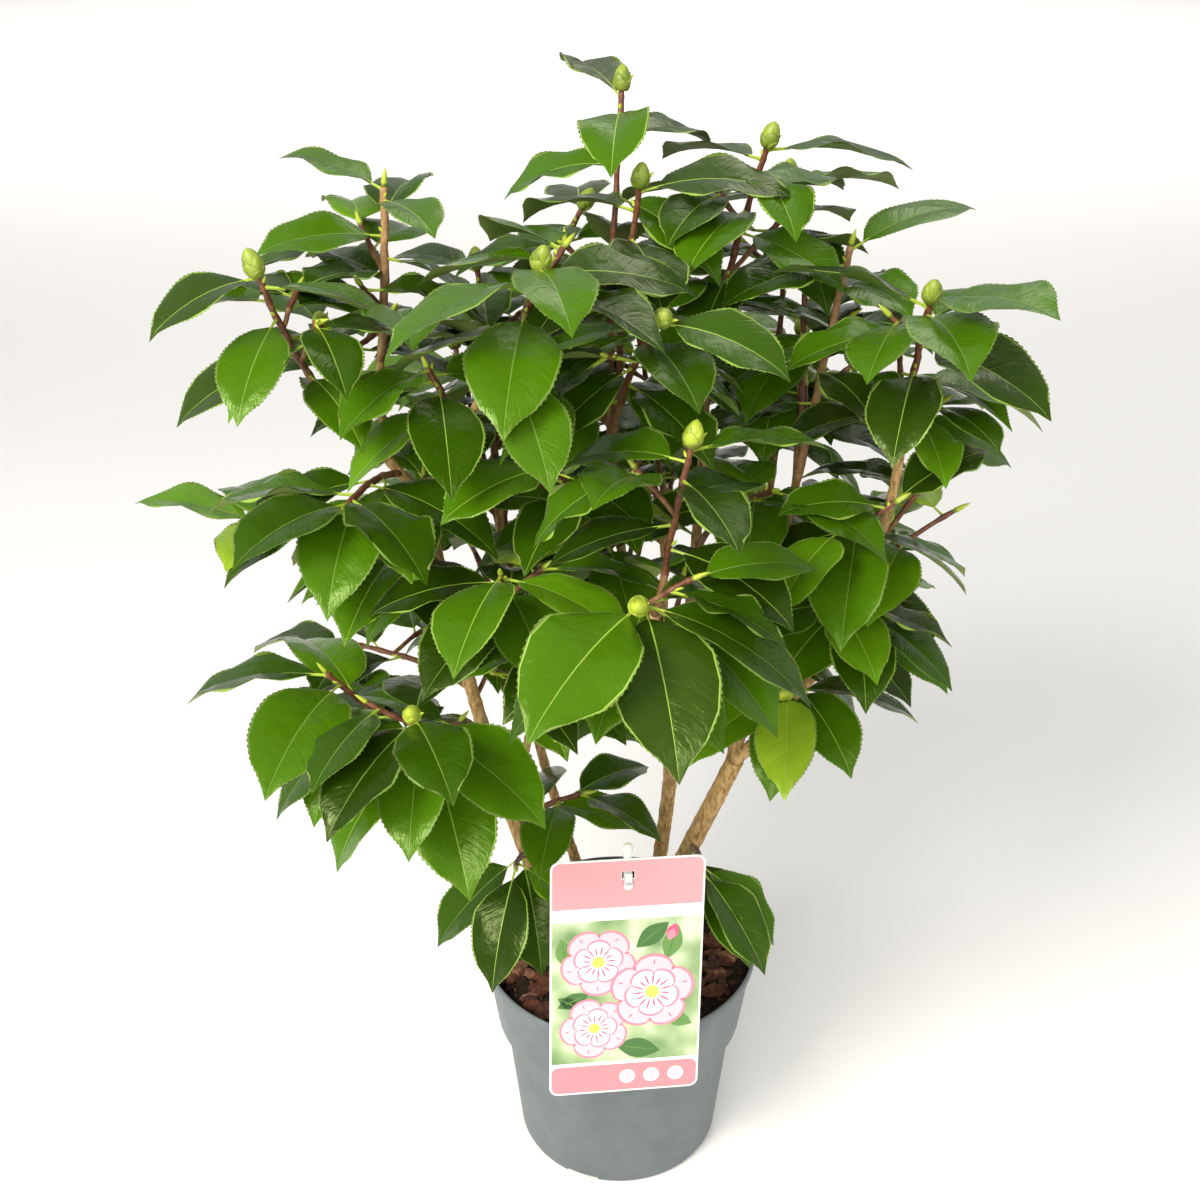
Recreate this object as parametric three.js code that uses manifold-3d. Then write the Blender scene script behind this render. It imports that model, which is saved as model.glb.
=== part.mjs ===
// A potted camellia, in millimetres: +Z is up and the origin is the centre of the pot's flat underside.
// Four woody stems stand on the potting mix, boughs fork off them, and every bough or stem carries
// leafy shoots. A shoot is one solid: its twigs, the leaves on their stalks and its flower bud.
import * as THREE from 'three';
import { mergeVertices } from 'three/addons/utils/BufferGeometryUtils.js';
import Module from 'manifold-3d';

const wasm = await Module();
wasm.setup();

// ---- driving sizes ---------------------------------------------------------------------------

const clearance = 0.3;

const pot = {
  height: 162,
  rimRadius: 95,
  rimBand: 7,
  bandStep: 1,
  bandChamfer: 1.5,
  collarFoot: { radius: 86.3, z: 104 },
  bodyTop: { radius: 80.3, z: 94 },
  baseRadius: 71.5,
  baseBevel: 4,
  wall: 1.8,
  floor: 2.4,
  facets: 32,
};
const drain = { count: 6, radius: 5, ringRadius: 48, facets: 8 };
const footNotch = { count: 4, width: 24, height: 3.2, depth: 3, firstAngle: 248 };

const mix = { depthBelowRim: 12, crownRise: 2, shoulder: 6, slack: 0.4, facets: 32 };
const groundZ = pot.height - mix.depthBelowRim;

const label = {
  width: 98, height: 172, thickness: 0.8, corner: 6, rimGap: 0.1,
  leanDeg: 9, yawDeg: 8, rollDeg: -2, bottomZ: 124, beside: -12.4,
  slotWidth: 8, slotHeight: 5, slotBelowTop: 9,
};
// The stake stands in the mix just inside the rim. Its tab holds the label, whose face leans on the rim.
const stake = {
  width: 5, thickness: 2.4, leanDeg: -1, buried: 50, aboveSlot: 15,
  knobRadius: 3.4, knobHeight: 8.4, knobDepth: 5, tabDrop: 11, tabThickness: 1.4, slotSlack: 1.4,
};

const wood = {
  limbSides: 6, stepLength: 42, flare: 1.9, flareReach: 13,
  twigSides: 3, twigSteps: 4, twigFoot: 2.3, twigTip: 1.4, twigPoint: 7, twigToLimb: 0.92,
};

const leafForm = {
  rootWidth: 1.7,
  thickness: 2.2,
  widthToLength: 0.5,
  // how far along the leaf each section lies, and its share of the full width
  sections: [[0.38, 1], [0.72, 0.76]],
};
// the bud's profile: how far along it each section lies in mm, and its share of the greatest radius
const budForm = { length: 16, radius: 6.4, sides: 6, profile: [[-1, 0.4], [5, 1], [11, 0.78]] };

// The crown's outline, which no leaf leaves: an egg round the stems, squarer than a true one.
const crown = { centre: [-28, -10, 455], radii: [284, 262, 312], squareness: 3 };

// ---- limbs: [x, y, z] of the tip, how far the middle bows out, radius at the foot and at the tip ----

const limbs = [
  {
    name: 'stem_left', foot: [-40, 15, groundZ],
    tip: [-115, -20, 511], bow: [-9, 0, 0], radii: [5.8, 3.3],
  },
  {
    name: 'stem_back', foot: [-25, 80, groundZ],
    tip: [-82, 88, 500], bow: [-12, -6, 0], radii: [3.8, 2.6],
  },
  { name: 'stem_middle', foot: [27, 60, groundZ], tip: [36, 45, 280], bow: [0, 0, 0], radii: [5.2, 4.9] },
  { name: 'stem_right', foot: [21, 25, groundZ], tip: [75, 0, 315], bow: [0, 1, 0], radii: [7, 6] },

  {
    name: 'bough_left_outer', on: 'stem_left', at: 1,
    tip: [-158, -40, 572], bow: [0, 0, 4], radii: [3.1, 2.5],
  },
  {
    name: 'bough_left_inner', on: 'stem_left', at: 1,
    tip: [-63, -80, 619], bow: [-4, 4, -2], radii: [2.8, 2.2],
  },
  {
    name: 'bough_left_snag', on: 'bough_left_outer', at: 0.4,
    tip: [-137, 4, 606], bow: [-5, 6, -6], radii: [2.5, 2.4],
  },
  {
    name: 'bough_left_low', on: 'stem_left', at: 0.35,
    tip: [-108, -92, 378], bow: [-2, -6, -10], radii: [3, 2.3],
  },
  {
    name: 'bough_left_front', on: 'stem_left', at: 0.38,
    tip: [-56, -58, 440], bow: [10, 2, -4], radii: [3, 2.2],
  },
  {
    name: 'bough_centre_left', on: 'stem_middle', at: 1,
    tip: [-8, 0, 542], bow: [-6, 0, -4], radii: [3.7, 2.7],
  },
  {
    name: 'bough_centre_right', on: 'stem_middle', at: 1,
    tip: [50, 30, 577], bow: [4, 12, 0], radii: [4.4, 2.5],
  },
  {
    name: 'bough_front', on: 'stem_middle', at: 0.97,
    tip: [15, -132, 500], bow: [0, -6, -18], radii: [3.3, 2.3],
  },
  {
    name: 'bough_back_centre', on: 'stem_middle', at: 0.8,
    tip: [30, 140, 440], bow: [0, 8, -12], radii: [3.2, 2.3],
  },
  {
    name: 'bough_right_outer', on: 'stem_right', at: 1,
    tip: [158, -30, 567], bow: [20, -6, -8], radii: [4.2, 2.5],
  },
  {
    name: 'bough_right_middle', on: 'stem_right', at: 1,
    tip: [106, 20, 507], bow: [0, 6, 0], radii: [3.6, 2.6],
  },
  {
    name: 'bough_right_back', on: 'stem_right', at: 0.9,
    tip: [98, 84, 500], bow: [6, 10, -10], radii: [3.1, 2.3],
  },
];

// ---- shoots ---------------------------------------------------------------------------------------
// Under each limb, the shoots that it carries: how far along it they set out, the tip of the main twig,
// the number of leaves, their length, and the compass angle of the top leaf. `rise` is given where the
// leaves leave their twig at another angle than leafRule's, and `sides` is the number of side twigs.

const shootsOf = {
  bough_centre_left: [
    { name: 'shoot_top', at: 1, tip: [-2, 20, 738], leaves: 9, size: 76, turn: 122, bud: true, sides: 1 },
    { name: 'shoot_top_front', at: 0.9, tip: [7, -30, 699], leaves: 7, size: 80, turn: 8, bud: true },
    {
      name: 'shoot_centre', at: 0.97, tip: [16, -116, 655],
      leaves: 7, size: 80, turn: 10, bud: true, sides: 1,
    },
    { name: 'shoot_inner_left', at: 0.6, tip: [-40, -66, 556], leaves: 7, size: 78, turn: 200 },
  ],
  bough_centre_right: [
    {
      name: 'shoot_top_right', at: 1, tip: [76, 0, 713],
      leaves: 9, size: 78, turn: 0, bud: true, sides: 1,
    },
    { name: 'shoot_inner_right', at: 0.55, tip: [84, -44, 530], leaves: 7, size: 80, turn: 330 },
  ],
  bough_left_inner: [
    {
      name: 'shoot_heart', at: 1, tip: [-43, -110, 680],
      leaves: 8, size: 84, turn: 272, bud: true, sides: 1,
    },
    { name: 'shoot_left_upper', at: 0.5, tip: [-106, -52, 606], leaves: 7, size: 76, turn: 250, rise: 6 },
  ],
  bough_right_outer: [
    {
      name: 'shoot_right_outer', at: 1, tip: [159, -60, 647],
      leaves: 9, size: 84, turn: 0, bud: true, sides: 1, rise: 22,
    },
    { name: 'shoot_right_mid', at: 0.7, tip: [116, -84, 524], leaves: 6, size: 80, turn: 225, sides: 1 },
    {
      name: 'shoot_right_low_front', at: 0.25, tip: [95, -78, 418],
      leaves: 6, size: 76, turn: 268, bud: true, rise: 4,
    },
    { name: 'shoot_right_low', at: 0.5, tip: [118, -56, 462], leaves: 6, size: 74, turn: 40 },
    { name: 'shoot_right_mid_back', at: 0.85, tip: [162, 24, 592], leaves: 6, size: 78, turn: 10 },
  ],
  bough_left_outer: [
    {
      name: 'shoot_left_outer', at: 1, tip: [-191, -60, 661],
      leaves: 7, size: 72, turn: 222, bud: true, sides: 1, rise: 6,
    },
    { name: 'shoot_left_mid', at: 0.3, tip: [-150, -84, 540], leaves: 7, size: 84, turn: 215 },
    { name: 'shoot_left_back', at: 0.7, tip: [-177, 34, 600], leaves: 6, size: 72, turn: 140, bud: true },
  ],
  bough_left_low: [
    {
      name: 'shoot_left_low', at: 1, tip: [-113, -150, 447],
      leaves: 9, size: 88, turn: 305, bud: true, sides: 1, rise: 8,
    },
    {
      name: 'shoot_left_low_outer', at: 0.8, tip: [-166, -104, 446],
      leaves: 6, size: 90, turn: 174, rise: 20,
    },
  ],
  bough_left_front: [
    { name: 'shoot_left_front', at: 1, tip: [-66, -120, 517], leaves: 8, size: 80, turn: 250, sides: 1 },
  ],
  bough_front: [
    {
      name: 'shoot_front_low', at: 1, tip: [6, -186, 535],
      leaves: 8, size: 92, turn: 250, bud: true, sides: 1, rise: 6,
    },
    { name: 'shoot_front_high', at: 0.95, tip: [32, -130, 595], leaves: 7, size: 78, turn: 2, bud: true },
  ],
  bough_right_middle: [
    { name: 'shoot_right_top', at: 0.96, tip: [107, 52, 620], leaves: 7, size: 74, turn: 200, bud: true },
    { name: 'shoot_right_snag', at: 1, tip: [126, 10, 655], leaves: 7, size: 80, turn: 20, rise: 30 },
  ],
  bough_left_snag: [
    { name: 'shoot_left_snag', at: 1, tip: [-132, 10, 688], leaves: 6, size: 72, turn: 160, rise: 26 },
  ],
  stem_left: [
    { name: 'shoot_far_left', at: 0.9, tip: [-222, 6, 484], leaves: 6, size: 82, turn: 176, rise: 18 },
    { name: 'shoot_left_low_back', at: 0.62, tip: [-180, 34, 384], leaves: 5, size: 74, turn: 180 },
    { name: 'shoot_foot_left', at: 0.22, tip: [-68, -44, 262], leaves: 4, size: 76, turn: 250, rise: -22 },
    { name: 'shoot_foot_middle', at: 0.3, tip: [-26, 0, 288], leaves: 5, size: 74, turn: 300 },
  ],
  stem_right: [
    { name: 'shoot_foot_right', at: 0.5, tip: [52, -48, 262], leaves: 5, size: 78, turn: 275, rise: -20 },
  ],
  stem_back: [
    {
      name: 'shoot_top_back', at: 1, tip: [-24, 90, 655],
      leaves: 8, size: 74, turn: 120, bud: true, sides: 1,
    },
    { name: 'shoot_upper_left', at: 0.93, tip: [-88, 78, 622], leaves: 7, size: 72, turn: 150, bud: true },
    {
      name: 'shoot_back_left', at: 0.8, tip: [-110, 150, 545],
      leaves: 8, size: 78, turn: 90, bud: true, sides: 1,
    },
    { name: 'shoot_back_left_low', at: 0.55, tip: [-120, 140, 440], leaves: 7, size: 80, turn: 140 },
  ],
  bough_back_centre: [
    {
      name: 'shoot_back_centre', at: 1, tip: [10, 160, 560],
      leaves: 8, size: 80, turn: 80, bud: true, sides: 1,
    },
    { name: 'shoot_back_low', at: 0.8, tip: [40, 190, 440], leaves: 7, size: 80, turn: 100, sides: 1 },
  ],
  bough_right_back: [
    { name: 'shoot_top_right_back', at: 1, tip: [97, 70, 676], leaves: 8, size: 74, turn: 20, bud: true },
    {
      name: 'shoot_back_right', at: 0.9, tip: [120, 150, 555],
      leaves: 8, size: 78, turn: 60, bud: true, sides: 1,
    },
    { name: 'shoot_back_right_low', at: 0.55, tip: [136, 112, 430], leaves: 7, size: 80, turn: 62 },
  ],
};
const shoots = Object.entries(shootsOf)
  .flatMap(([on, carried]) => carried.map((shoot) => ({ on, ...shoot })))
  .map((shoot, i) => ({ ...shoot, seed: i + 1 }));

// How side twigs leave a main twig: where, which way and how long, and what leaves they carry.
const twigRule = {
  bow: 0.08,
  firstSide: 0.44,
  sideStep: 0.2,
  sideTurn: 70,
  sideLength: 0.52,
  sideThickness: 0.8,
  outward: 0.9,
  sideSwings: [0, 40, -40, 80, -80],
  sideLeaves: 3,
  sideLeafSize: 0.88,
  sideLeafTurn: 65,
};
// How leaves follow one another down a twig, and how far each may stray from the rule.
const leafRule = {
  divergence: 137.5,
  turnSpread: 9,
  sizeSpread: 0.1,
  widthSpread: 0.06,
  pitchSpread: 9,
  rollSpread: 16,
  rise: 16,
  riseLossPerLeaf: 3.2,
  droop: 42,
  topLeafAt: 0.98,
  leafyShare: 0.78,
  crowding: 1.35,
  followTwig: 0.9,
};
// A leaf that would touch something is swung round and tipped by these steps, in degrees, and left
// out if all of them fail.
const swings = [
  [0, 0], [20, 0], [-20, 0], [0, -20], [0, 18], [40, 0], [-40, 0], [22, -24], [-22, -24], [60, -8], [-60, -8],
];
// Two solids that share less than this much, in cubic millimetres, count as clear of each other.
const leastOverlap = 1e-4;

// ---- solids -------------------------------------------------------------------------------------

const rad = THREE.MathUtils.degToRad;
const vec = (p) => new THREE.Vector3(...p);

// A closed mesh geometry as a solid that can be joined and cut.
function solidOf(geometry) {
  const bare = geometry.index ? geometry.toNonIndexed() : geometry.clone();
  bare.deleteAttribute('normal');
  bare.deleteAttribute('uv');
  const merged = mergeVertices(bare, 1e-4);
  const triVerts = new Uint32Array(merged.index.array);
  const solid = new wasm.Manifold(
    new wasm.Mesh({ numProp: 3, vertProperties: merged.attributes.position.array, triVerts }),
  );
  if (solid.volume() >= 0) return solid;
  for (let i = 0; i < triVerts.length; i += 3) {
    [triVerts[i + 1], triVerts[i + 2]] = [triVerts[i + 2], triVerts[i + 1]];
  }
  return new wasm.Manifold(
    new wasm.Mesh({ numProp: 3, vertProperties: merged.attributes.position.array, triVerts }),
  );
}

// The same solid as a mesh geometry again. Only its largest body is kept.
function geometryOf(solid) {
  const bodies = solid.decompose().sort((a, b) => b.volume() - a.volume());
  const { numProp, vertProperties, triVerts } = bodies[0].getMesh();
  const positions = new Float32Array((vertProperties.length / numProp) * 3);
  for (let i = 0; i < positions.length / 3; i++) {
    positions.set(vertProperties.subarray(i * numProp, i * numProp + 3), i * 3);
  }
  const geometry = new THREE.BufferGeometry();
  geometry.setAttribute('position', new THREE.BufferAttribute(positions, 3));
  geometry.setIndex(new THREE.BufferAttribute(triVerts, 1));
  geometry.computeVertexNormals();
  return geometry;
}

// Skins a row of rings of points, all with as many points. A ring of one point closes to a tip.
function loft(rings) {
  const positions = [];
  const triangle = (a, b, c) => positions.push(...a.toArray(), ...b.toArray(), ...c.toArray());
  const fan = (ring, flip) => {
    for (let i = 1; i < ring.length - 1; i++) {
      if (flip) triangle(ring[0], ring[i], ring[i + 1]);
      else triangle(ring[0], ring[i + 1], ring[i]);
    }
  };
  fan(rings[0], false);
  for (let k = 1; k < rings.length; k++) {
    const [low, high] = [rings[k - 1], rings[k]];
    const n = Math.max(low.length, high.length);
    for (let i = 0; i < n; i++) {
      const j = (i + 1) % n;
      if (low.length > 1) triangle(low[i], low[j], high[j % high.length]);
      if (high.length > 1) triangle(low[i % low.length], high[j], high[i]);
    }
  }
  fan(rings.at(-1), true);
  const geometry = new THREE.BufferGeometry();
  geometry.setAttribute('position', new THREE.Float32BufferAttribute(positions, 3));
  return solidOf(geometry);
}

// The corners of a round section, square to the way ahead.
function ring(centre, ahead, radius, sides) {
  const across = new THREE.Vector3(0, 1, 0).cross(ahead).normalize();
  const other = ahead.clone().cross(across);
  return Array.from({ length: sides }, (_, i) => {
    const turn = (2 * Math.PI * i) / sides;
    const corner = centre.clone().addScaledVector(across, radius * Math.cos(turn));
    return corner.addScaledVector(other, radius * Math.sin(turn));
  });
}

// ---- limbs --------------------------------------------------------------------------------------

// The centre line of a limb or twig, from its foot to its tip, bowed out in the middle.
function bowedLine(foot, tip, bow) {
  const middle = foot.clone().add(tip).multiplyScalar(0.5).addScaledVector(bow, 2);
  return new THREE.QuadraticBezierCurve3(foot, middle, tip);
}

// A tapering round bar along a line. It can have a level foot and a pointed end, and grow all over.
function bar(line, radiusAt, sides, steps, { grow = 0, levelFoot = false, point = 0 } = {}) {
  const rings = [];
  for (let k = 0; k <= steps; k++) {
    const along = k / steps;
    const centre = line.getPoint(along);
    const ahead = line.getTangent(along);
    if (k === 0) centre.addScaledVector(ahead, -grow);
    if (k === steps) centre.addScaledVector(ahead, grow);
    if (levelFoot && k === 0) ahead.set(0, 0, 1);
    const radius = radiusAt(along) + grow;
    rings.push(ring(centre, ahead, radius, sides));
  }
  if (point) rings.push([line.getPoint(1).addScaledVector(line.getTangent(1), point + grow)]);
  return loft(rings);
}

const grown = new Map();

function growLimb(spec) {
  const parent = grown.get(spec.on);
  const foot = parent ? parent.line.getPoint(spec.at) : vec(spec.foot).setZ(groundZ + clearance);
  const line = bowedLine(foot, vec(spec.tip), vec(spec.bow));
  const length = line.getLength();
  const radiusAt = (along) => {
    const taper = THREE.MathUtils.lerp(spec.radii[0], spec.radii[1], along);
    return parent ? taper : taper + wood.flare * Math.exp((-along * length) / wood.flareReach);
  };
  const steps = Math.max(3, Math.round(length / wood.stepLength));
  const make = (grow) => bar(line, radiusAt, wood.limbSides, steps, { grow, levelFoot: !parent });
  grown.set(spec.name, { line, radiusAt, solid: make(0), space: make(clearance), on: spec.on });
}

// ---- leaves and shoots --------------------------------------------------------------------------

// A small seeded generator of numbers from 0 to 1, the same ones for the same seed.
function drawsFor(seed) {
  let state = seed * 7919;
  return () => {
    state = (state * 1664525 + 1013904223) % 4294967296;
    return state / 4294967296;
  };
}

// Sections of a leaf from its root on the twig to its tip: centre, half width, and the directions in it.
// The leaf arches: each stretch of it points lower than the one before.
function leafSections(leaf) {
  const heading = new THREE.Vector3(Math.cos(leaf.turn), Math.sin(leaf.turn), 0);
  const side = new THREE.Vector3(-heading.y, heading.x, 0);
  const pointing = (pitch) => heading.clone().multiplyScalar(Math.cos(pitch)).setZ(Math.sin(pitch));
  const at = leaf.root.clone();
  let reached = 0;
  return [[0, 0], ...leafForm.sections, [1, 0]].map(([along, share]) => {
    const halfway = (reached + along) / 2;
    at.addScaledVector(pointing(leaf.pitch - leaf.droop * halfway), leaf.size * (along - reached));
    reached = along;
    const ahead = pointing(leaf.pitch - leaf.droop * along);
    return {
      at: at.clone(),
      ahead,
      half: Math.max(leafForm.rootWidth, share * leaf.width) / 2,
      up: ahead.clone().cross(side).applyAxisAngle(ahead, leaf.roll),
      across: side.clone().applyAxisAngle(ahead, leaf.roll),
    };
  });
}

// The leaf's solid: a flat top between its two edges, and the midrib below.
function leafSolid(leaf, { grow = 0, bladeOnly = false } = {}) {
  const sections = leafSections(leaf);
  const rings = sections.slice(0, -1).map(({ at, half, up, across }) => [
    at.clone().addScaledVector(across, half + grow).addScaledVector(up, grow),
    at.clone().addScaledVector(across, -half - grow).addScaledVector(up, grow),
    at.clone().addScaledVector(up, -leafForm.thickness - grow),
  ]);
  const tip = sections.at(-1);
  rings.push([tip.at.clone().addScaledVector(tip.ahead, grow)]);
  return loft(bladeOnly ? rings.slice(1) : rings);
}

function budSolid(at, ahead, grow = 0) {
  const rings = budForm.profile.map(([along, share]) => (
    ring(at.clone().addScaledVector(ahead, along), ahead, budForm.radius * share + grow, budForm.sides)
  ));
  rings.push([at.clone().addScaledVector(ahead, budForm.length + grow)]);
  return loft(rings);
}

const insideCrown = (point) => {
  const reach = point.toArray().map((value, i) => Math.abs(value - crown.centre[i]) / crown.radii[i]);
  return reach.reduce((sum, share) => sum + share ** crown.squareness, 0) < 1;
};

const boxesMeet = (a, b) => [0, 1, 2].every((i) => a.min[i] <= b.max[i] && b.min[i] <= a.max[i]);

const touches = (solid, others) => {
  const box = solid.boundingBox();
  return others.some((other) => (
    boxesMeet(box, other.box) && solid.intersect(other.solid).volume() > leastOverlap
  ));
};

const filled = (solid, owner) => ({ solid, box: solid.boundingBox(), owner });

// A twig from its foot to its tip. It sets out part of the way along the direction it is given.
function growTwig(foot, tip, setOut, thick) {
  const length = foot.distanceTo(tip);
  const bow = setOut.clone().multiplyScalar(length).sub(tip.clone().sub(foot)).multiplyScalar(twigRule.bow);
  const line = bowedLine(foot, tip, bow);
  const radiusAt = (along) => THREE.MathUtils.lerp(thick, wood.twigTip, along);
  const make = (grow) => bar(line, radiusAt, wood.twigSides, wood.twigSteps, { grow, point: wood.twigPoint });
  return { line, radiusAt, solid: make(0), space: make(clearance) };
}

function mainTwig(spec) {
  const parent = grown.get(spec.on);
  const foot = parent.line.getPoint(spec.at);
  const thick = Math.min(wood.twigFoot, parent.radiusAt(spec.at) * wood.twigToLimb);
  const twig = growTwig(foot, vec(spec.tip), parent.line.getTangent(spec.at), thick);
  if (!spec.bud) return twig;
  const bud = (grow) => budSolid(twig.line.getPoint(1), twig.line.getTangent(1), grow);
  return { ...twig, solid: twig.solid.add(bud(0)), space: twig.space.add(bud(clearance)) };
}

// The side twig at one place on a main twig, swung round it by a number of degrees.
function sideTwig(main, spec, index, swing) {
  const along = twigRule.firstSide - twigRule.sideStep * index;
  const foot = main.line.getPoint(along);
  const ahead = main.line.getTangent(along);
  const compass = rad(spec.turn + twigRule.sideTurn + leafRule.divergence * index + swing);
  const outward = new THREE.Vector3(Math.cos(compass), Math.sin(compass), 0);
  const heading = ahead.clone().addScaledVector(outward, twigRule.outward).normalize();
  const tip = foot.clone().addScaledVector(heading, twigRule.sideLength * spec.size);
  return growTwig(foot, tip, outward.add(ahead).normalize(), main.radiusAt(along) * twigRule.sideThickness);
}

// The leaves of a twig, from its tip down: each a turn on from the last one, and lower.
function leavesOf(line, { leaves, size, turn, rise = leafRule.rise }, draw) {
  const spread = (amount) => amount * (2 * draw() - 1);
  return Array.from({ length: leaves }, (_, i) => {
    const along = leafRule.topLeafAt - leafRule.leafyShare * (i / leaves) ** leafRule.crowding;
    const ahead = line.getTangent(along);
    const compass = rad(turn + leafRule.divergence * i + spread(leafRule.turnSpread));
    const x = Math.cos(compass) + leafRule.followTwig * ahead.x;
    const y = Math.sin(compass) + leafRule.followTwig * ahead.y;
    const length = size * (1 + spread(leafRule.sizeSpread));
    return {
      root: line.getPoint(along),
      turn: Math.atan2(y, x),
      size: length,
      width: length * leafForm.widthToLength * (1 + spread(leafRule.widthSpread)),
      pitch: rad(rise - leafRule.riseLossPerLeaf * i + spread(leafRule.pitchSpread)),
      droop: rad(leafRule.droop + spread(leafRule.pitchSpread)),
      roll: rad(spread(leafRule.rollSpread)),
    };
  });
}

// Grows a shoot on its main twig, each side twig and leaf clear of all that is taken already.
function growShoot(spec, main, taken) {
  const draw = drawsFor(spec.seed);
  const others = taken.filter(({ owner }) => owner !== spec.name);
  const own = [];
  let whole = main.solid;
  const fuse = (solid) => {
    whole = whole.add(solid);
    own.push(filled(solid, spec.name));
  };
  const isFree = (leaf) => insideCrown(leafSections(leaf).at(-1).at)
    && !touches(leafSolid(leaf, { grow: clearance }), others)
    && !touches(leafSolid(leaf, { grow: clearance, bladeOnly: true }), own);
  const leafOut = (line, habit) => {
    for (const leaf of leavesOf(line, habit, draw)) {
      const ways = swings.map(([swing, tip]) => (
        { ...leaf, turn: leaf.turn + rad(swing), pitch: leaf.pitch + rad(tip) }
      ));
      const free = ways.find(isFree);
      if (free) fuse(leafSolid(free));
    }
  };
  leafOut(main.line, spec);
  for (let k = 0; k < (spec.sides ?? 0); k++) {
    const twig = twigRule.sideSwings.map((swing) => sideTwig(main, spec, k, swing))
      .find(({ space }) => !touches(space, [...others, ...own]));
    if (!twig) continue;
    fuse(twig.solid);
    leafOut(twig.line, {
      ...spec,
      leaves: twigRule.sideLeaves,
      size: spec.size * twigRule.sideLeafSize,
      turn: spec.turn + twigRule.sideLeafTurn,
    });
  }
  taken.push(filled(whole, spec.name));
  return whole;
}

// ---- pot, potting mix, label and stake ----------------------------------------------------------

const potWallRadius = (z) => {
  const { collarFoot, bodyTop } = pot;
  const rim = { radius: pot.rimRadius - pot.bandStep, z: pot.height };
  const base = { radius: pot.baseRadius, z: 0 };
  const between = (a, b) => THREE.MathUtils.mapLinear(z, a.z, b.z, a.radius, b.radius);
  if (z > collarFoot.z) return between(collarFoot, rim);
  return z > bodyTop.z ? between(bodyTop, collarFoot) : between(base, bodyTop);
};

function makePot() {
  const { height, rimRadius, rimBand, bandChamfer, collarFoot, bodyTop, baseRadius, baseBevel } = pot;
  const { wall, floor } = pot;
  const outside = [
    [0, 0], [baseRadius - baseBevel, 0], [baseRadius, baseBevel], [bodyTop.radius, bodyTop.z],
    [collarFoot.radius, collarFoot.z], [potWallRadius(height - rimBand), height - rimBand],
    [rimRadius, height - rimBand + bandChamfer], [rimRadius, height],
  ];
  const inside = [
    [rimRadius - wall, height], [collarFoot.radius - wall, collarFoot.z],
    [bodyTop.radius - wall, bodyTop.z], [baseRadius - wall, floor + baseBevel],
    [baseRadius - wall - baseBevel, floor], [0, floor],
  ];
  const profile = [...outside, ...inside].map(([r, z]) => new THREE.Vector2(r, z));
  const shell = new THREE.LatheGeometry(profile, pot.facets).rotateX(Math.PI / 2);
  let solid = solidOf(shell);
  for (let i = 0; i < drain.count; i++) {
    const angle = (2 * Math.PI * (i + 0.5)) / drain.count;
    const hole = new THREE.CylinderGeometry(drain.radius, drain.radius, 4 * floor, drain.facets);
    hole.rotateX(Math.PI / 2).translate(drain.ringRadius, 0, floor / 2).rotateZ(angle);
    solid = solid.subtract(solidOf(hole));
  }
  for (let i = 0; i < footNotch.count; i++) {
    const angle = rad(footNotch.firstAngle + (360 * i) / footNotch.count);
    const notch = new THREE.BoxGeometry(2 * footNotch.depth, footNotch.width, 2 * footNotch.height);
    notch.translate(baseRadius, 0, 0).rotateZ(angle);
    solid = solid.subtract(solidOf(notch));
  }
  return solid;
}

function makeMix() {
  const { baseRadius, baseBevel, bodyTop, collarFoot, wall, floor } = pot;
  const inside = (radius) => radius - wall - clearance - mix.slack;
  const top = inside(potWallRadius(groundZ));
  const profile = [
    [0, floor + clearance], [inside(baseRadius - baseBevel), floor + clearance],
    [inside(baseRadius), floor + baseBevel + mix.slack],
    [inside(bodyTop.radius), bodyTop.z + mix.slack], [inside(collarFoot.radius), collarFoot.z + mix.slack],
    [top, groundZ - mix.crownRise], [top - mix.shoulder, groundZ], [0, groundZ],
  ].map(([r, z]) => new THREE.Vector2(r, z));
  return solidOf(new THREE.LatheGeometry(profile, mix.facets).rotateX(Math.PI / 2));
}

// The label's own frame: x across it, y up its face, z out of its front. Its back leans on the pot's rim.
function labelPlace() {
  const lean = rad(label.leanDeg);
  const rimY = pot.rimRadius + clearance + label.rimGap + label.thickness / Math.cos(lean);
  const footY = rimY + (pot.height - label.bottomZ) * Math.tan(lean);
  return new THREE.Matrix4().makeRotationZ(rad(label.yawDeg))
    .multiply(new THREE.Matrix4().makeTranslation(label.beside, -footY, label.bottomZ))
    .multiply(new THREE.Matrix4().makeRotationX(Math.PI / 2 - lean))
    .multiply(new THREE.Matrix4().makeRotationZ(rad(label.rollDeg)));
}

function makeLabel() {
  const { width, height, corner: r, thickness } = label;
  const half = width / 2;
  const outline = new THREE.Shape();
  outline.moveTo(-half + r, 0).lineTo(half - r, 0).absarc(half - r, r, r, -Math.PI / 2, 0);
  outline.lineTo(half, height - r).absarc(half - r, height - r, r, 0, Math.PI / 2);
  outline.lineTo(-half + r, height).absarc(-half + r, height - r, r, Math.PI / 2, Math.PI);
  outline.lineTo(-half, r).absarc(-half + r, r, r, Math.PI, 1.5 * Math.PI);
  const slot = new THREE.Path();
  const top = height - label.slotBelowTop;
  const w = label.slotWidth / 2;
  slot.moveTo(-w, top - label.slotHeight).lineTo(-w, top).lineTo(w, top).lineTo(w, top - label.slotHeight);
  slot.closePath();
  outline.holes.push(slot);
  const settings = { depth: thickness, bevelEnabled: false, curveSegments: 4 };
  return solidOf(new THREE.ExtrudeGeometry(outline, settings).applyMatrix4(labelPlace()));
}

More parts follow.
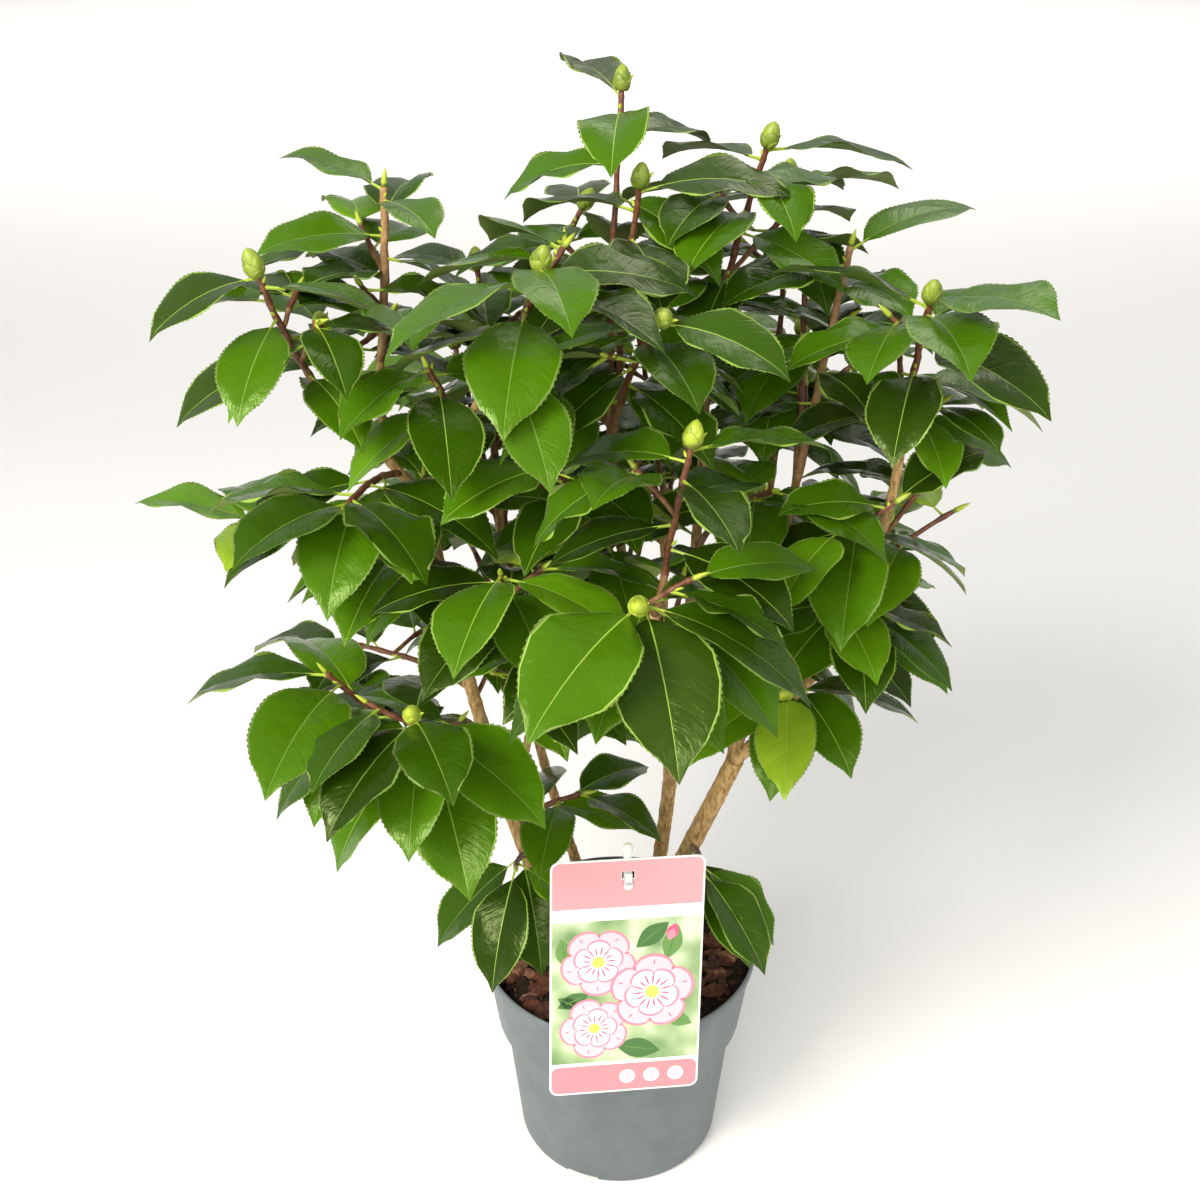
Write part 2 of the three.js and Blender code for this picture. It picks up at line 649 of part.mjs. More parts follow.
// A flat stake behind the label, with a pointed foot, a knob on top and a tab that hooks through the slot.
function makeStake(grow = 0) {
  const { width, thickness, leanDeg, buried, aboveSlot, tabDrop, tabThickness } = stake;
  const slotY = label.height - label.slotBelowTop - label.slotHeight / 2;
  const placed = labelPlace();
  // The label's top edge leans back towards the stake, so the stake stands off at the slot.
  const behind = clearance + thickness / 2 + (label.height - slotY) * Math.tan(rad(label.leanDeg - leanDeg));
  const slot = new THREE.Vector3(0, slotY, -behind).applyMatrix4(placed);
  const upright = new THREE.Matrix4().makeTranslation(...slot)
    .multiply(new THREE.Matrix4().makeRotationZ(rad(label.yawDeg)))
    .multiply(new THREE.Matrix4().makeRotationX(Math.PI / 2 - rad(leanDeg)));
  const w = width / 2 + grow;
  const footY = groundZ - slot.z - buried;
  const blade = new THREE.Shape();
  blade.moveTo(0, footY - 2 * width - grow).lineTo(w, footY).lineTo(w, aboveSlot);
  blade.lineTo(-w, aboveSlot).lineTo(-w, footY).closePath();
  const bladeBar = new THREE.ExtrudeGeometry(blade, { depth: thickness + 2 * grow, bevelEnabled: false });
  bladeBar.translate(0, 0, -thickness / 2 - grow).applyMatrix4(upright);
  const knob = new THREE.SphereGeometry(0.5, 8, 6);
  knob.scale(2 * stake.knobRadius, stake.knobHeight, stake.knobDepth);
  knob.translate(0, aboveSlot + stake.knobRadius, 0).applyMatrix4(upright);
  const tongue = label.slotHeight - stake.slotSlack;
  const tabZ = label.thickness + 2 * clearance + tabThickness / 2;
  const bridge = new THREE.BoxGeometry(width, tongue, behind + tabZ);
  bridge.translate(0, slotY, (tabZ - behind) / 2).applyMatrix4(placed);
  const tab = new THREE.BoxGeometry(width, tabDrop, tabThickness);
  tab.translate(0, slotY + tongue / 2 - tabDrop / 2, tabZ).applyMatrix4(placed);
  return [bladeBar, knob, bridge, tab].map(solidOf).reduce((whole, piece) => whole.add(piece));
}

// ---- the plant in its pot -----------------------------------------------------------------------

const finish = {
  pot: new THREE.MeshStandardMaterial({ color: '#7f8b8f', roughness: 0.55 }),
  mix: new THREE.MeshStandardMaterial({ color: '#4a3022', roughness: 0.95 }),
  label: new THREE.MeshStandardMaterial({ color: '#f0b4bd', roughness: 0.35 }),
  stake: new THREE.MeshStandardMaterial({ color: '#e9ece6', roughness: 0.4 }),
  bark: new THREE.MeshStandardMaterial({ color: '#8a6242', roughness: 0.85 }),
  leaf: new THREE.MeshStandardMaterial({ color: '#2f6a1c', roughness: 0.35 }),
};

const plant = new THREE.Group();
const add = (name, solid, material) => {
  const mesh = new THREE.Mesh(geometryOf(solid), material);
  mesh.name = name;
  plant.add(mesh);
};

const potSolid = makePot();
const stakeSolid = makeStake();
const mixSolid = makeMix().subtract(makeStake(clearance));
const labelSolid = makeLabel();
add('pot', potSolid, finish.pot);
add('potting_mix', mixSolid, finish.mix);
add('label', labelSolid, finish.label);
add('label_stake', stakeSolid, finish.stake);

limbs.forEach(growLimb);
const limbNames = limbs.map(({ name }) => name);
const clearOf = (solid, names) => names.reduce((left, name) => left.subtract(grown.get(name).space), solid);
for (const [i, name] of limbNames.entries()) {
  const { on } = grown.get(name);
  const near = limbNames.slice(0, i).filter((other) => other === on || (on && grown.get(other).on === on));
  add(name, clearOf(grown.get(name).solid, near), finish.bark);
}

const mains = shoots.map(mainTwig);
const taken = [
  ...[potSolid, labelSolid, stakeSolid, mixSolid].map((solid) => filled(solid, 'pot')),
  ...limbNames.map((name) => filled(grown.get(name).space, name)),
  ...mains.map((main, i) => filled(main.space, shoots[i].name)),
];
const wholes = shoots.map((spec, i) => growShoot(spec, mains[i], taken));
for (const [i, spec] of shoots.entries()) {
  const family = limbNames.filter((name) => name === spec.on || grown.get(name).on === spec.on);
  const elders = mains.filter((_, j) => j < i && shoots[j].on === spec.on);
  const cut = elders.reduce((left, elder) => left.subtract(elder.space), clearOf(wholes[i], family));
  add(spec.name, cut, finish.leaf);
}

export default plant;
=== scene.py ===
# A camellia in its pot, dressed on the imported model. Metres, +Z up, the pot's underside at 0.
import math

import bpy
from mathutils import Matrix, Quaternion, Vector
from mathutils.bvhtree import BVHTree
from mathutils.kdtree import KDTree


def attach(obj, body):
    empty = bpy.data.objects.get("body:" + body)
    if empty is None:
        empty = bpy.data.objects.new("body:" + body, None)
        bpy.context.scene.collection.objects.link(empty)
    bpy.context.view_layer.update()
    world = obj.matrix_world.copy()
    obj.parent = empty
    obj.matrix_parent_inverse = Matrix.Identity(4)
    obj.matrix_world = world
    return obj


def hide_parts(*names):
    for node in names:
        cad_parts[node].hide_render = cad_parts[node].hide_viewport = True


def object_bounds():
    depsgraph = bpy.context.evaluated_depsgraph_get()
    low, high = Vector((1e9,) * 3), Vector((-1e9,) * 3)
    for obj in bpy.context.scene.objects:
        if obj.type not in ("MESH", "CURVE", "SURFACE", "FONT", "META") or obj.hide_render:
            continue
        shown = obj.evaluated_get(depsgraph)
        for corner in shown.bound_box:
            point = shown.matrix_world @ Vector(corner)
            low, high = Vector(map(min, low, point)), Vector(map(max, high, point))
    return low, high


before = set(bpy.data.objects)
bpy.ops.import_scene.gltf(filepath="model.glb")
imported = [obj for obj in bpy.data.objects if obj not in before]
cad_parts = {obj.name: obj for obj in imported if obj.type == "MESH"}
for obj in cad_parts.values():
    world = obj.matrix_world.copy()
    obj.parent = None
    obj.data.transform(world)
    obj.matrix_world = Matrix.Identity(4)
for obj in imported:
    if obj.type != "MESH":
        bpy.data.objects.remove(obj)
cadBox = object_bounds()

mm = 0.001
# the camera stands in front, and looks down on the plant
view = {"lens": 48, "sensor": 36, "place": (-0.0135, -0.866, 0.915), "downDeg": 29}
print("frame loaded:", len(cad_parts), "nodes")


# ---- small helpers

def drawsFor(seed):
    # numbers from 0 to 1, the same ones for the same seed
    state = [seed * 7919]

    def draw():
        state[0] = (state[0] * 1664525 + 1013904223) % 4294967296
        return state[0] / 4294967296

    return draw


def between(draw, low, high):
    return low + (high - low) * draw()


def mix(a, b, share):
    return a + (b - a) * share


def linear(hexColour):
    # sRGB hex to the linear colour that a shader takes
    parts = [int(hexColour[i:i + 2], 16) / 255 for i in (1, 3, 5)]
    return [p / 12.92 if p <= 0.04045 else ((p + 0.055) / 1.055) ** 2.4 for p in parts] + [1]


def addNode(tree, kind, inputs=None, **settings):
    # a node with its settings; an input is a value, or a socket to link
    made = tree.nodes.new(kind)
    for name, value in settings.items():
        setattr(made, name, value)
    for key, value in (inputs or {}).items():
        if isinstance(value, bpy.types.NodeSocket):
            tree.links.new(value, made.inputs[key])
        else:
            made.inputs[key].default_value = value
    return made


def calculate(tree, operation, *values):
    made = addNode(tree, "ShaderNodeMath", dict(enumerate(values)), operation=operation)
    return made.outputs[0]


def newMaterial(name, colour, roughness, **sockets):
    # a Principled surface; sockets are named by their label with the spaces as underscores
    made = bpy.data.materials.new(name)
    made.use_nodes = True
    shader = made.node_tree.nodes["Principled BSDF"]
    shader.inputs["Base Color"].default_value = linear(colour)
    shader.inputs["Roughness"].default_value = roughness
    for key, value in sockets.items():
        shader.inputs[key.replace("_", " ")].default_value = value
    return made


def shaderOf(material):
    return material.node_tree, material.node_tree.nodes["Principled BSDF"]


def linkTo(tree, socket, shader, name):
    tree.links.new(socket, shader.inputs[name])


def objectPoint(tree):
    return addNode(tree, "ShaderNodeTexCoord").outputs["Object"]


def stretchedPoint(tree, scale):
    return addNode(tree, "ShaderNodeMapping", {"Vector": objectPoint(tree), "Scale": scale}).outputs[0]


def noise(tree, sizeMm, detail=4, roughness=0.55, coords=None):
    # a noise whose lumps are about this many millimetres across
    inputs = {"Vector": coords or objectPoint(tree), "Scale": 1 / (sizeMm * mm)}
    inputs.update({"Detail": detail, "Roughness": roughness})
    return addNode(tree, "ShaderNodeTexNoise", inputs).outputs["Fac"]


def ramp(tree, value, stops):
    # colours along a value; each stop is its place and its hex colour
    made = addNode(tree, "ShaderNodeValToRGB", {"Fac": value})
    elements = made.color_ramp.elements
    while len(elements) < len(stops):
        elements.new(0.5)
    for element, (place, colour) in zip(elements, stops):
        element.position = place
        element.color = linear(colour)
    return made.outputs["Color"]


def spreadTo(tree, value, low, high):
    made = addNode(tree, "ShaderNodeMapRange", {"Value": value, "To Min": low, "To Max": high})
    return made.outputs["Result"]


def bump(tree, shader, height, depthMm, strength=1.0):
    inputs = {"Height": height, "Distance": depthMm * mm, "Strength": strength}
    linkTo(tree, addNode(tree, "ShaderNodeBump", inputs).outputs["Normal"], shader, "Normal")


def deselect():
    if bpy.context.object and bpy.context.object.mode != "OBJECT":
        bpy.ops.object.mode_set(mode="OBJECT")
    bpy.ops.object.select_all(action="DESELECT")


def pick(piece):
    deselect()
    piece.select_set(True)
    bpy.context.view_layer.objects.active = piece


def settle(piece):
    # puts the object at the origin, with its place in its mesh
    pick(piece)
    bpy.ops.object.transform_apply(location=True, rotation=True, scale=True)
    return piece


def applyModifier(piece, kind, **settings):
    pick(piece)
    modifier = piece.modifiers.new(kind.title(), kind)
    for name, value in settings.items():
        setattr(modifier, name, value)
    bpy.ops.object.modifier_apply(modifier=modifier.name)


def roundEdges(piece, width, sharpFrom):
    # rounds the edges that turn by more than so many degrees
    applyModifier(piece, "BEVEL", width=width * mm, segments=2, limit_method="ANGLE",
                  angle_limit=math.radians(sharpFrom))


def joined(name, pieces):
    deselect()
    for piece in pieces:
        piece.select_set(True)
    bpy.context.view_layer.objects.active = pieces[0]
    bpy.ops.object.join()
    whole = bpy.context.object
    whole.name = name
    whole.data.name = name
    return whole


def rideAs(piece, slotName, *nodes):
    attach(piece, "root")
    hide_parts(*nodes)
    return piece


def newPile():
    # points, faces, each face's slot and each corner's place on the pattern, poured in piece by piece
    return {"points": [], "faces": [], "slots": [], "uvs": []}


def pour(pile, points, faces, slots, uvs=None):
    first = len(pile["points"])
    pile["points"] += points
    for face, slotIndex in zip(faces, slots):
        pile["faces"].append([first + i for i in face])
        pile["slots"].append(slotIndex)
        pile["uvs"] += [uvs[i] if uvs else (0, 0) for i in face]


def pileToPiece(name, pile, materials):
    # many small things of one kind as one mesh
    mesh = bpy.data.meshes.new(name)
    mesh.from_pydata([p * mm for p in pile["points"]], [], pile["faces"])
    for material in materials:
        mesh.materials.append(material)
    mesh.polygons.foreach_set("material_index", pile["slots"])
    mesh.polygons.foreach_set("use_smooth", [True] * len(pile["faces"]))
    layer = mesh.uv_layers.new(name="blade")
    layer.data.foreach_set("uv", [value for uv in pile["uvs"] for value in uv])
    mesh.validate()
    mesh.update()
    piece = bpy.data.objects.new(name, mesh)
    bpy.context.scene.collection.objects.link(piece)
    return piece


# ---- the rule that the plant grows by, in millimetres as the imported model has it

groundZ = 150
clearance = 0.3
wood = {"twigFoot": 2.3, "twigTip": 1.4, "twigPoint": 7, "twigToLimb": 0.92, "flare": 1.9, "flareReach": 13}
leafForm = {"widthToLength": 0.5, "bends": (0, 0.38, 0.72, 1)}
budForm = {"length": 16, "radius": 6.4}
crown = {"centre": (-28, -10, 455), "radii": (284, 262, 312), "squareness": 3}

limbRows = {
    "stem_left": {"foot": (-40, 15), "tip": (-115, -20, 511), "bow": (-9, 0, 0), "radii": (5.8, 3.3)},
    "stem_back": {"foot": (-25, 80), "tip": (-82, 88, 500), "bow": (-12, -6, 0), "radii": (3.8, 2.6)},
    "stem_middle": {"foot": (27, 60), "tip": (36, 45, 280), "bow": (0, 0, 0), "radii": (5.2, 4.9)},
    "stem_right": {"foot": (21, 25), "tip": (75, 0, 315), "bow": (0, 1, 0), "radii": (7, 6)},
    "bough_left_outer": {
        "on": "stem_left", "at": 1, "tip": (-158, -40, 572), "bow": (0, 0, 4), "radii": (3.1, 2.5)},
    "bough_left_inner": {
        "on": "stem_left", "at": 1, "tip": (-63, -80, 619), "bow": (-4, 4, -2), "radii": (2.8, 2.2)},
    "bough_left_snag": {
        "on": "bough_left_outer", "at": 0.4, "tip": (-137, 4, 606),
        "bow": (-5, 6, -6), "radii": (2.5, 2.4)},
    "bough_left_low": {
        "on": "stem_left", "at": 0.35, "tip": (-108, -92, 378), "bow": (-2, -6, -10), "radii": (3, 2.3)},
    "bough_left_front": {
        "on": "stem_left", "at": 0.38, "tip": (-56, -58, 440), "bow": (10, 2, -4), "radii": (3, 2.2)},
    "bough_centre_left": {
        "on": "stem_middle", "at": 1, "tip": (-8, 0, 542), "bow": (-6, 0, -4), "radii": (3.7, 2.7)},
    "bough_centre_right": {
        "on": "stem_middle", "at": 1, "tip": (50, 30, 577), "bow": (4, 12, 0), "radii": (4.4, 2.5)},
    "bough_front": {
        "on": "stem_middle", "at": 0.97, "tip": (15, -132, 500), "bow": (0, -6, -18), "radii": (3.3, 2.3)},
    "bough_back_centre": {
        "on": "stem_middle", "at": 0.8, "tip": (30, 140, 440), "bow": (0, 8, -12), "radii": (3.2, 2.3)},
    "bough_right_outer": {
        "on": "stem_right", "at": 1, "tip": (158, -30, 567), "bow": (20, -6, -8), "radii": (4.2, 2.5)},
    "bough_right_middle": {
        "on": "stem_right", "at": 1, "tip": (106, 20, 507), "bow": (0, 6, 0), "radii": (3.6, 2.6)},
    "bough_right_back": {
        "on": "stem_right", "at": 0.9, "tip": (98, 84, 500), "bow": (6, 10, -10), "radii": (3.1, 2.3)},
}


def shoot(name, at, tip, leaves, size, turn, bud=False, sides=0, rise=16):
    return {"name": name, "at": at, "tip": tip, "leaves": leaves, "size": size, "turn": turn,
            "bud": bud, "sides": sides, "rise": rise}


# under each limb its shoots: place along it, tip, leaves, their length, the top leaf's compass angle
shootRows = {
    "bough_centre_left": [
        shoot("shoot_top", 1, (-2, 20, 738), 9, 76, 122, bud=True, sides=1),
        shoot("shoot_top_front", 0.9, (7, -30, 699), 7, 80, 8, bud=True),
        shoot("shoot_centre", 0.97, (16, -116, 655), 7, 80, 10, bud=True, sides=1),
        shoot("shoot_inner_left", 0.6, (-40, -66, 556), 7, 78, 200),
    ],
    "bough_centre_right": [
        shoot("shoot_top_right", 1, (76, 0, 713), 9, 78, 0, bud=True, sides=1),
        shoot("shoot_inner_right", 0.55, (84, -44, 530), 7, 80, 330),
    ],
    "bough_left_inner": [
        shoot("shoot_heart", 1, (-43, -110, 680), 8, 84, 272, bud=True, sides=1),
        shoot("shoot_left_upper", 0.5, (-106, -52, 606), 7, 76, 250, rise=6),
    ],
    "bough_right_outer": [
        shoot("shoot_right_outer", 1, (159, -60, 647), 9, 84, 0, bud=True, sides=1, rise=22),
        shoot("shoot_right_mid", 0.7, (116, -84, 524), 6, 80, 225, sides=1),
        shoot("shoot_right_low_front", 0.25, (95, -78, 418), 6, 76, 268, bud=True, rise=4),
        shoot("shoot_right_low", 0.5, (118, -56, 462), 6, 74, 40),
        shoot("shoot_right_mid_back", 0.85, (162, 24, 592), 6, 78, 10),
    ],
    "bough_left_outer": [
        shoot("shoot_left_outer", 1, (-191, -60, 661), 7, 72, 222, bud=True, sides=1, rise=6),
        shoot("shoot_left_mid", 0.3, (-150, -84, 540), 7, 84, 215),
        shoot("shoot_left_back", 0.7, (-177, 34, 600), 6, 72, 140, bud=True),
    ],
    "bough_left_low": [
        shoot("shoot_left_low", 1, (-113, -150, 447), 9, 88, 305, bud=True, sides=1, rise=8),
        shoot("shoot_left_low_outer", 0.8, (-166, -104, 446), 6, 90, 174, rise=20),
    ],
    "bough_left_front": [
        shoot("shoot_left_front", 1, (-66, -120, 517), 8, 80, 250, sides=1),
    ],
    "bough_front": [
        shoot("shoot_front_low", 1, (6, -186, 535), 8, 92, 250, bud=True, sides=1, rise=6),
        shoot("shoot_front_high", 0.95, (32, -130, 595), 7, 78, 2, bud=True),
    ],
    "bough_right_middle": [
        shoot("shoot_right_top", 0.96, (107, 52, 620), 7, 74, 200, bud=True),
        shoot("shoot_right_snag", 1, (126, 10, 655), 7, 80, 20, rise=30),
    ],
    "bough_left_snag": [
        shoot("shoot_left_snag", 1, (-132, 10, 688), 6, 72, 160, rise=26),
    ],
    "stem_left": [
        shoot("shoot_far_left", 0.9, (-222, 6, 484), 6, 82, 176, rise=18),
        shoot("shoot_left_low_back", 0.62, (-180, 34, 384), 5, 74, 180),
        shoot("shoot_foot_left", 0.22, (-68, -44, 262), 4, 76, 250, rise=-22),
        shoot("shoot_foot_middle", 0.3, (-26, 0, 288), 5, 74, 300),
    ],
    "stem_right": [
        shoot("shoot_foot_right", 0.5, (52, -48, 262), 5, 78, 275, rise=-20),
    ],
    "stem_back": [
        shoot("shoot_top_back", 1, (-24, 90, 655), 8, 74, 120, bud=True, sides=1),
        shoot("shoot_upper_left", 0.93, (-88, 78, 622), 7, 72, 150, bud=True),
        shoot("shoot_back_left", 0.8, (-110, 150, 545), 8, 78, 90, bud=True, sides=1),
        shoot("shoot_back_left_low", 0.55, (-120, 140, 440), 7, 80, 140),
    ],
    "bough_back_centre": [
        shoot("shoot_back_centre", 1, (10, 160, 560), 8, 80, 80, bud=True, sides=1),
        shoot("shoot_back_low", 0.8, (40, 190, 440), 7, 80, 100, sides=1),
    ],
    "bough_right_back": [
        shoot("shoot_top_right_back", 1, (97, 70, 676), 8, 74, 20, bud=True),
        shoot("shoot_back_right", 0.9, (120, 150, 555), 8, 78, 60, bud=True, sides=1),
        shoot("shoot_back_right_low", 0.55, (136, 112, 430), 7, 80, 62),
    ],
}
shoots = [dict(row, on=limb) for limb, rows in shootRows.items() for row in rows]
for place, spec in enumerate(shoots):
    spec["seed"] = place + 1

twigRule = {
    "bow": 0.08, "outward": 0.9, "firstSide": 0.44, "sideStep": 0.2, "sideTurn": 70,
    "sideSwings": (0, 40, -40, 80, -80), "sideLength": 0.52, "sideThickness": 0.8,
    "sideLeaves": 3, "sideLeafSize": 0.88, "sideLeafTurn": 65,
}
leafRule = {
    "divergence": 137.5, "turnSpread": 9, "sizeSpread": 0.1, "widthSpread": 0.06, "pitchSpread": 9,
    "rollSpread": 16, "riseLossPerLeaf": 3.2, "droop": 42, "topLeafAt": 0.98, "leafyShare": 0.78,
    "crowding": 1.35, "followTwig": 0.9,
}
# how far a leaf may turn aside and tip to find room, in degrees, in the order that it tries them
swings = (
    (0, 0), (20, 0), (-20, 0), (0, -20), (0, 18), (40, 0), (-40, 0),
    (22, -24), (-22, -24), (60, -8), (-60, -8),
)


def bowedLine(foot, tip, bow):
    return (foot, (foot + tip) / 2 + 2 * bow, tip)


def pointOn(line, along):
    foot, middle, tip = line
    return (1 - along) ** 2 * foot + 2 * along * (1 - along) * middle + along ** 2 * tip


def headingOn(line, along):
    foot, middle, tip = line
    return ((1 - along) * (middle - foot) + along * (tip - middle)).normalized()


def lengthOf(line):
    points = [pointOn(line, i / 40) for i in range(41)]
    return sum((b - a).length for a, b in zip(points, points[1:]))


def ringAround(centre, ahead, radius, sides):
    across = Vector((0, 1, 0)).cross(ahead).normalized()
    other = ahead.cross(across)
    turns = [2 * math.pi * i / sides for i in range(sides)]
    return [centre + (across * math.cos(t) + other * math.sin(t)) * radius for t in turns]


def growLimb(row, parent):
    foot = pointOn(parent["line"], row["at"]) if parent else Vector((*row["foot"], groundZ + clearance))
    line = bowedLine(foot, Vector(row["tip"]), Vector(row["bow"]))
    length = lengthOf(line)

    def radiusAt(along):
        taper = mix(row["radii"][0], row["radii"][1], along)
        flare = 0 if parent else wood["flare"] * math.exp(-along * length / wood["flareReach"])
        return taper + flare

    return {"line": line, "length": length, "radiusAt": radiusAt, "isStem": not parent}


def growTwig(foot, tip, setOut, thick):
    length = (tip - foot).length
    line = bowedLine(foot, tip, (setOut * length - (tip - foot)) * twigRule["bow"])
    return {"line": line, "length": lengthOf(line), "thick": thick,
            "radiusAt": lambda along: mix(thick, wood["twigTip"], along)}


def mainTwig(spec):
    parent = limbs[spec["on"]]
    thick = min(wood["twigFoot"], parent["radiusAt"](spec["at"]) * wood["twigToLimb"])
    foot = pointOn(parent["line"], spec["at"])
    return growTwig(foot, Vector(spec["tip"]), headingOn(parent["line"], spec["at"]), thick)


def sideTwig(main, spec, index, swing):
    along = twigRule["firstSide"] - twigRule["sideStep"] * index
    foot = pointOn(main["line"], along)
    ahead = headingOn(main["line"], along)
    compass = math.radians(spec["turn"] + twigRule["sideTurn"] + leafRule["divergence"] * index + swing)
    outward = Vector((math.cos(compass), math.sin(compass), 0))
    way = (ahead + outward * twigRule["outward"]).normalized()
    tip = foot + way * twigRule["sideLength"] * spec["size"]
    thick = main["radiusAt"](along) * twigRule["sideThickness"]
    return growTwig(foot, tip, (outward + ahead).normalized(), thick)


def leavesOf(line, habit, draw):
    # the leaves of a twig, from its tip down: each a turn on from the last one, and lower
    def spread(amount):
        return amount * (2 * draw() - 1)

    found = []
    for i in range(habit["leaves"]):
        down = (i / habit["leaves"]) ** leafRule["crowding"]
        along = leafRule["topLeafAt"] - leafRule["leafyShare"] * down
        ahead = headingOn(line, along)
        compass = math.radians(habit["turn"] + leafRule["divergence"] * i + spread(leafRule["turnSpread"]))
        x = math.cos(compass) + leafRule["followTwig"] * ahead.x
        y = math.sin(compass) + leafRule["followTwig"] * ahead.y
        size = habit["size"] * (1 + spread(leafRule["sizeSpread"]))
        found.append({
            "root": pointOn(line, along),
            "along": along,
            "turn": math.atan2(y, x),
            "size": size,
            "width": size * leafForm["widthToLength"] * (1 + spread(leafRule["widthSpread"])),
            "pitch": math.radians(
                habit["rise"] - leafRule["riseLossPerLeaf"] * i + spread(leafRule["pitchSpread"])),
            "droop": math.radians(leafRule["droop"] + spread(leafRule["pitchSpread"])),
            "roll": math.radians(spread(leafRule["rollSpread"])),
        })
    return found


def swung(leaf):
    # the leaf as it grew, then turned aside and tipped
    return [
        dict(leaf, turn=leaf["turn"] + math.radians(aside), pitch=leaf["pitch"] + math.radians(tip))
        for aside, tip in swings
    ]


def coarseTip(leaf):
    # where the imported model's own leaf ends: it runs in three straight stretches
    at = leaf["root"].copy()
    for start, end in zip(leafForm["bends"], leafForm["bends"][1:]):
        pitch = leaf["pitch"] - leaf["droop"] * (start + end) / 2
        flat = math.cos(pitch)
        step = Vector((math.cos(leaf["turn"]) * flat, math.sin(leaf["turn"]) * flat, math.sin(pitch)))
        at += step * leaf["size"] * (end - start)
    return at


def cornersOf(nodeName):
    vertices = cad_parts[nodeName].data.vertices
    tree = KDTree(len(vertices))
    for i, vertex in enumerate(vertices):
        tree.insert(vertex.co / mm, i)
    tree.balance()
    return tree


def hasCorner(corners, point, within=0.35):
    return corners.find(point)[2] < within


def growShoot(spec):
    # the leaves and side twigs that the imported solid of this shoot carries, found by their tips
    draw = drawsFor(spec["seed"])
    corners = cornersOf(spec["name"])
    main = mainTwig(spec)
    leaves = []

    def leafOut(twig, habit):
        for leaf in leavesOf(twig["line"], habit, draw):
            for tried in swung(leaf):
                if hasCorner(corners, coarseTip(tried)):
                    leaves.append(dict(tried, twig=twig))
                    break

    leafOut(main, spec)
    sides = []
    for index in range(spec["sides"]):
        for swing in twigRule["sideSwings"]:
            twig = sideTwig(main, spec, index, swing)
            end = pointOn(twig["line"], 1) + headingOn(twig["line"], 1) * wood["twigPoint"]
            if hasCorner(corners, end):
                sides.append(twig)
                leafOut(twig, {
                    "turn": spec["turn"] + twigRule["sideLeafTurn"], "leaves": twigRule["sideLeaves"],
                    "size": spec["size"] * twigRule["sideLeafSize"], "rise": spec["rise"],
                })
                break
    return {"spec": spec, "main": main, "sides": sides, "leaves": leaves}


limbs = {}
for limbName, limbRow in limbRows.items():
    limbs[limbName] = growLimb(limbRow, limbs.get(limbRow.get("on")))
grown = [growShoot(spec) for spec in shoots]


def countOf(part):
    return sum(len(g[part]) for g in grown)


print("grown:", countOf("leaves"), "leaves,", countOf("sides"), "side twigs")


# ---- leaves

leafLook = {
    "stalkShare": 0.12,      # of the leaf's length
    "stalkRadius": 1.0,      # mm
    "thickness": 0.7,        # mm, at the midrib
    "ribHalf": 0.44,         # mm, at the foot of the blade
    "marginShare": 0.968,    # where the pale margin starts, of the half width
    "toothDepth": 0.8,       # mm
    "teethPerStretch": 4,
    "fold": 0.24,            # how far each half rises from the midrib
    "foldLoss": 0.35,        # how much of that is lost towards the margin
    "bulge": 0.045,          # of the width, between midrib and margin
    "hook": 34,              # degrees that the drip tip bends down
    "wave": 0.045,           # of the length
    "veins": 7,              # a side
    "veinSweep": 19,         # radians that the veins run forward, from the midrib to the margin
}
# the blade's outline: how far up it, and the share of its greatest half width
bladeOutline = (
    (0, 0.05), (0.07, 0.4), (0.18, 0.75), (0.33, 0.97), (0.49, 1),
    (0.65, 0.87), (0.8, 0.57), (0.91, 0.21), (1, 0),
)
toothedStretches = range(1, 7)


def onOutline(stretch, share):
    # a smooth curve through the outline's places
    last = len(bladeOutline) - 1
    a, b, c, d = [Vector(bladeOutline[min(max(stretch + i, 0), last)]) for i in (-1, 0, 1, 2)]
    bend = (2 * a - 5 * b + 4 * c - d) * share ** 2 + (3 * b - a - 3 * c + d) * share ** 3
    return (2 * b + (c - a) * share + bend) / 2


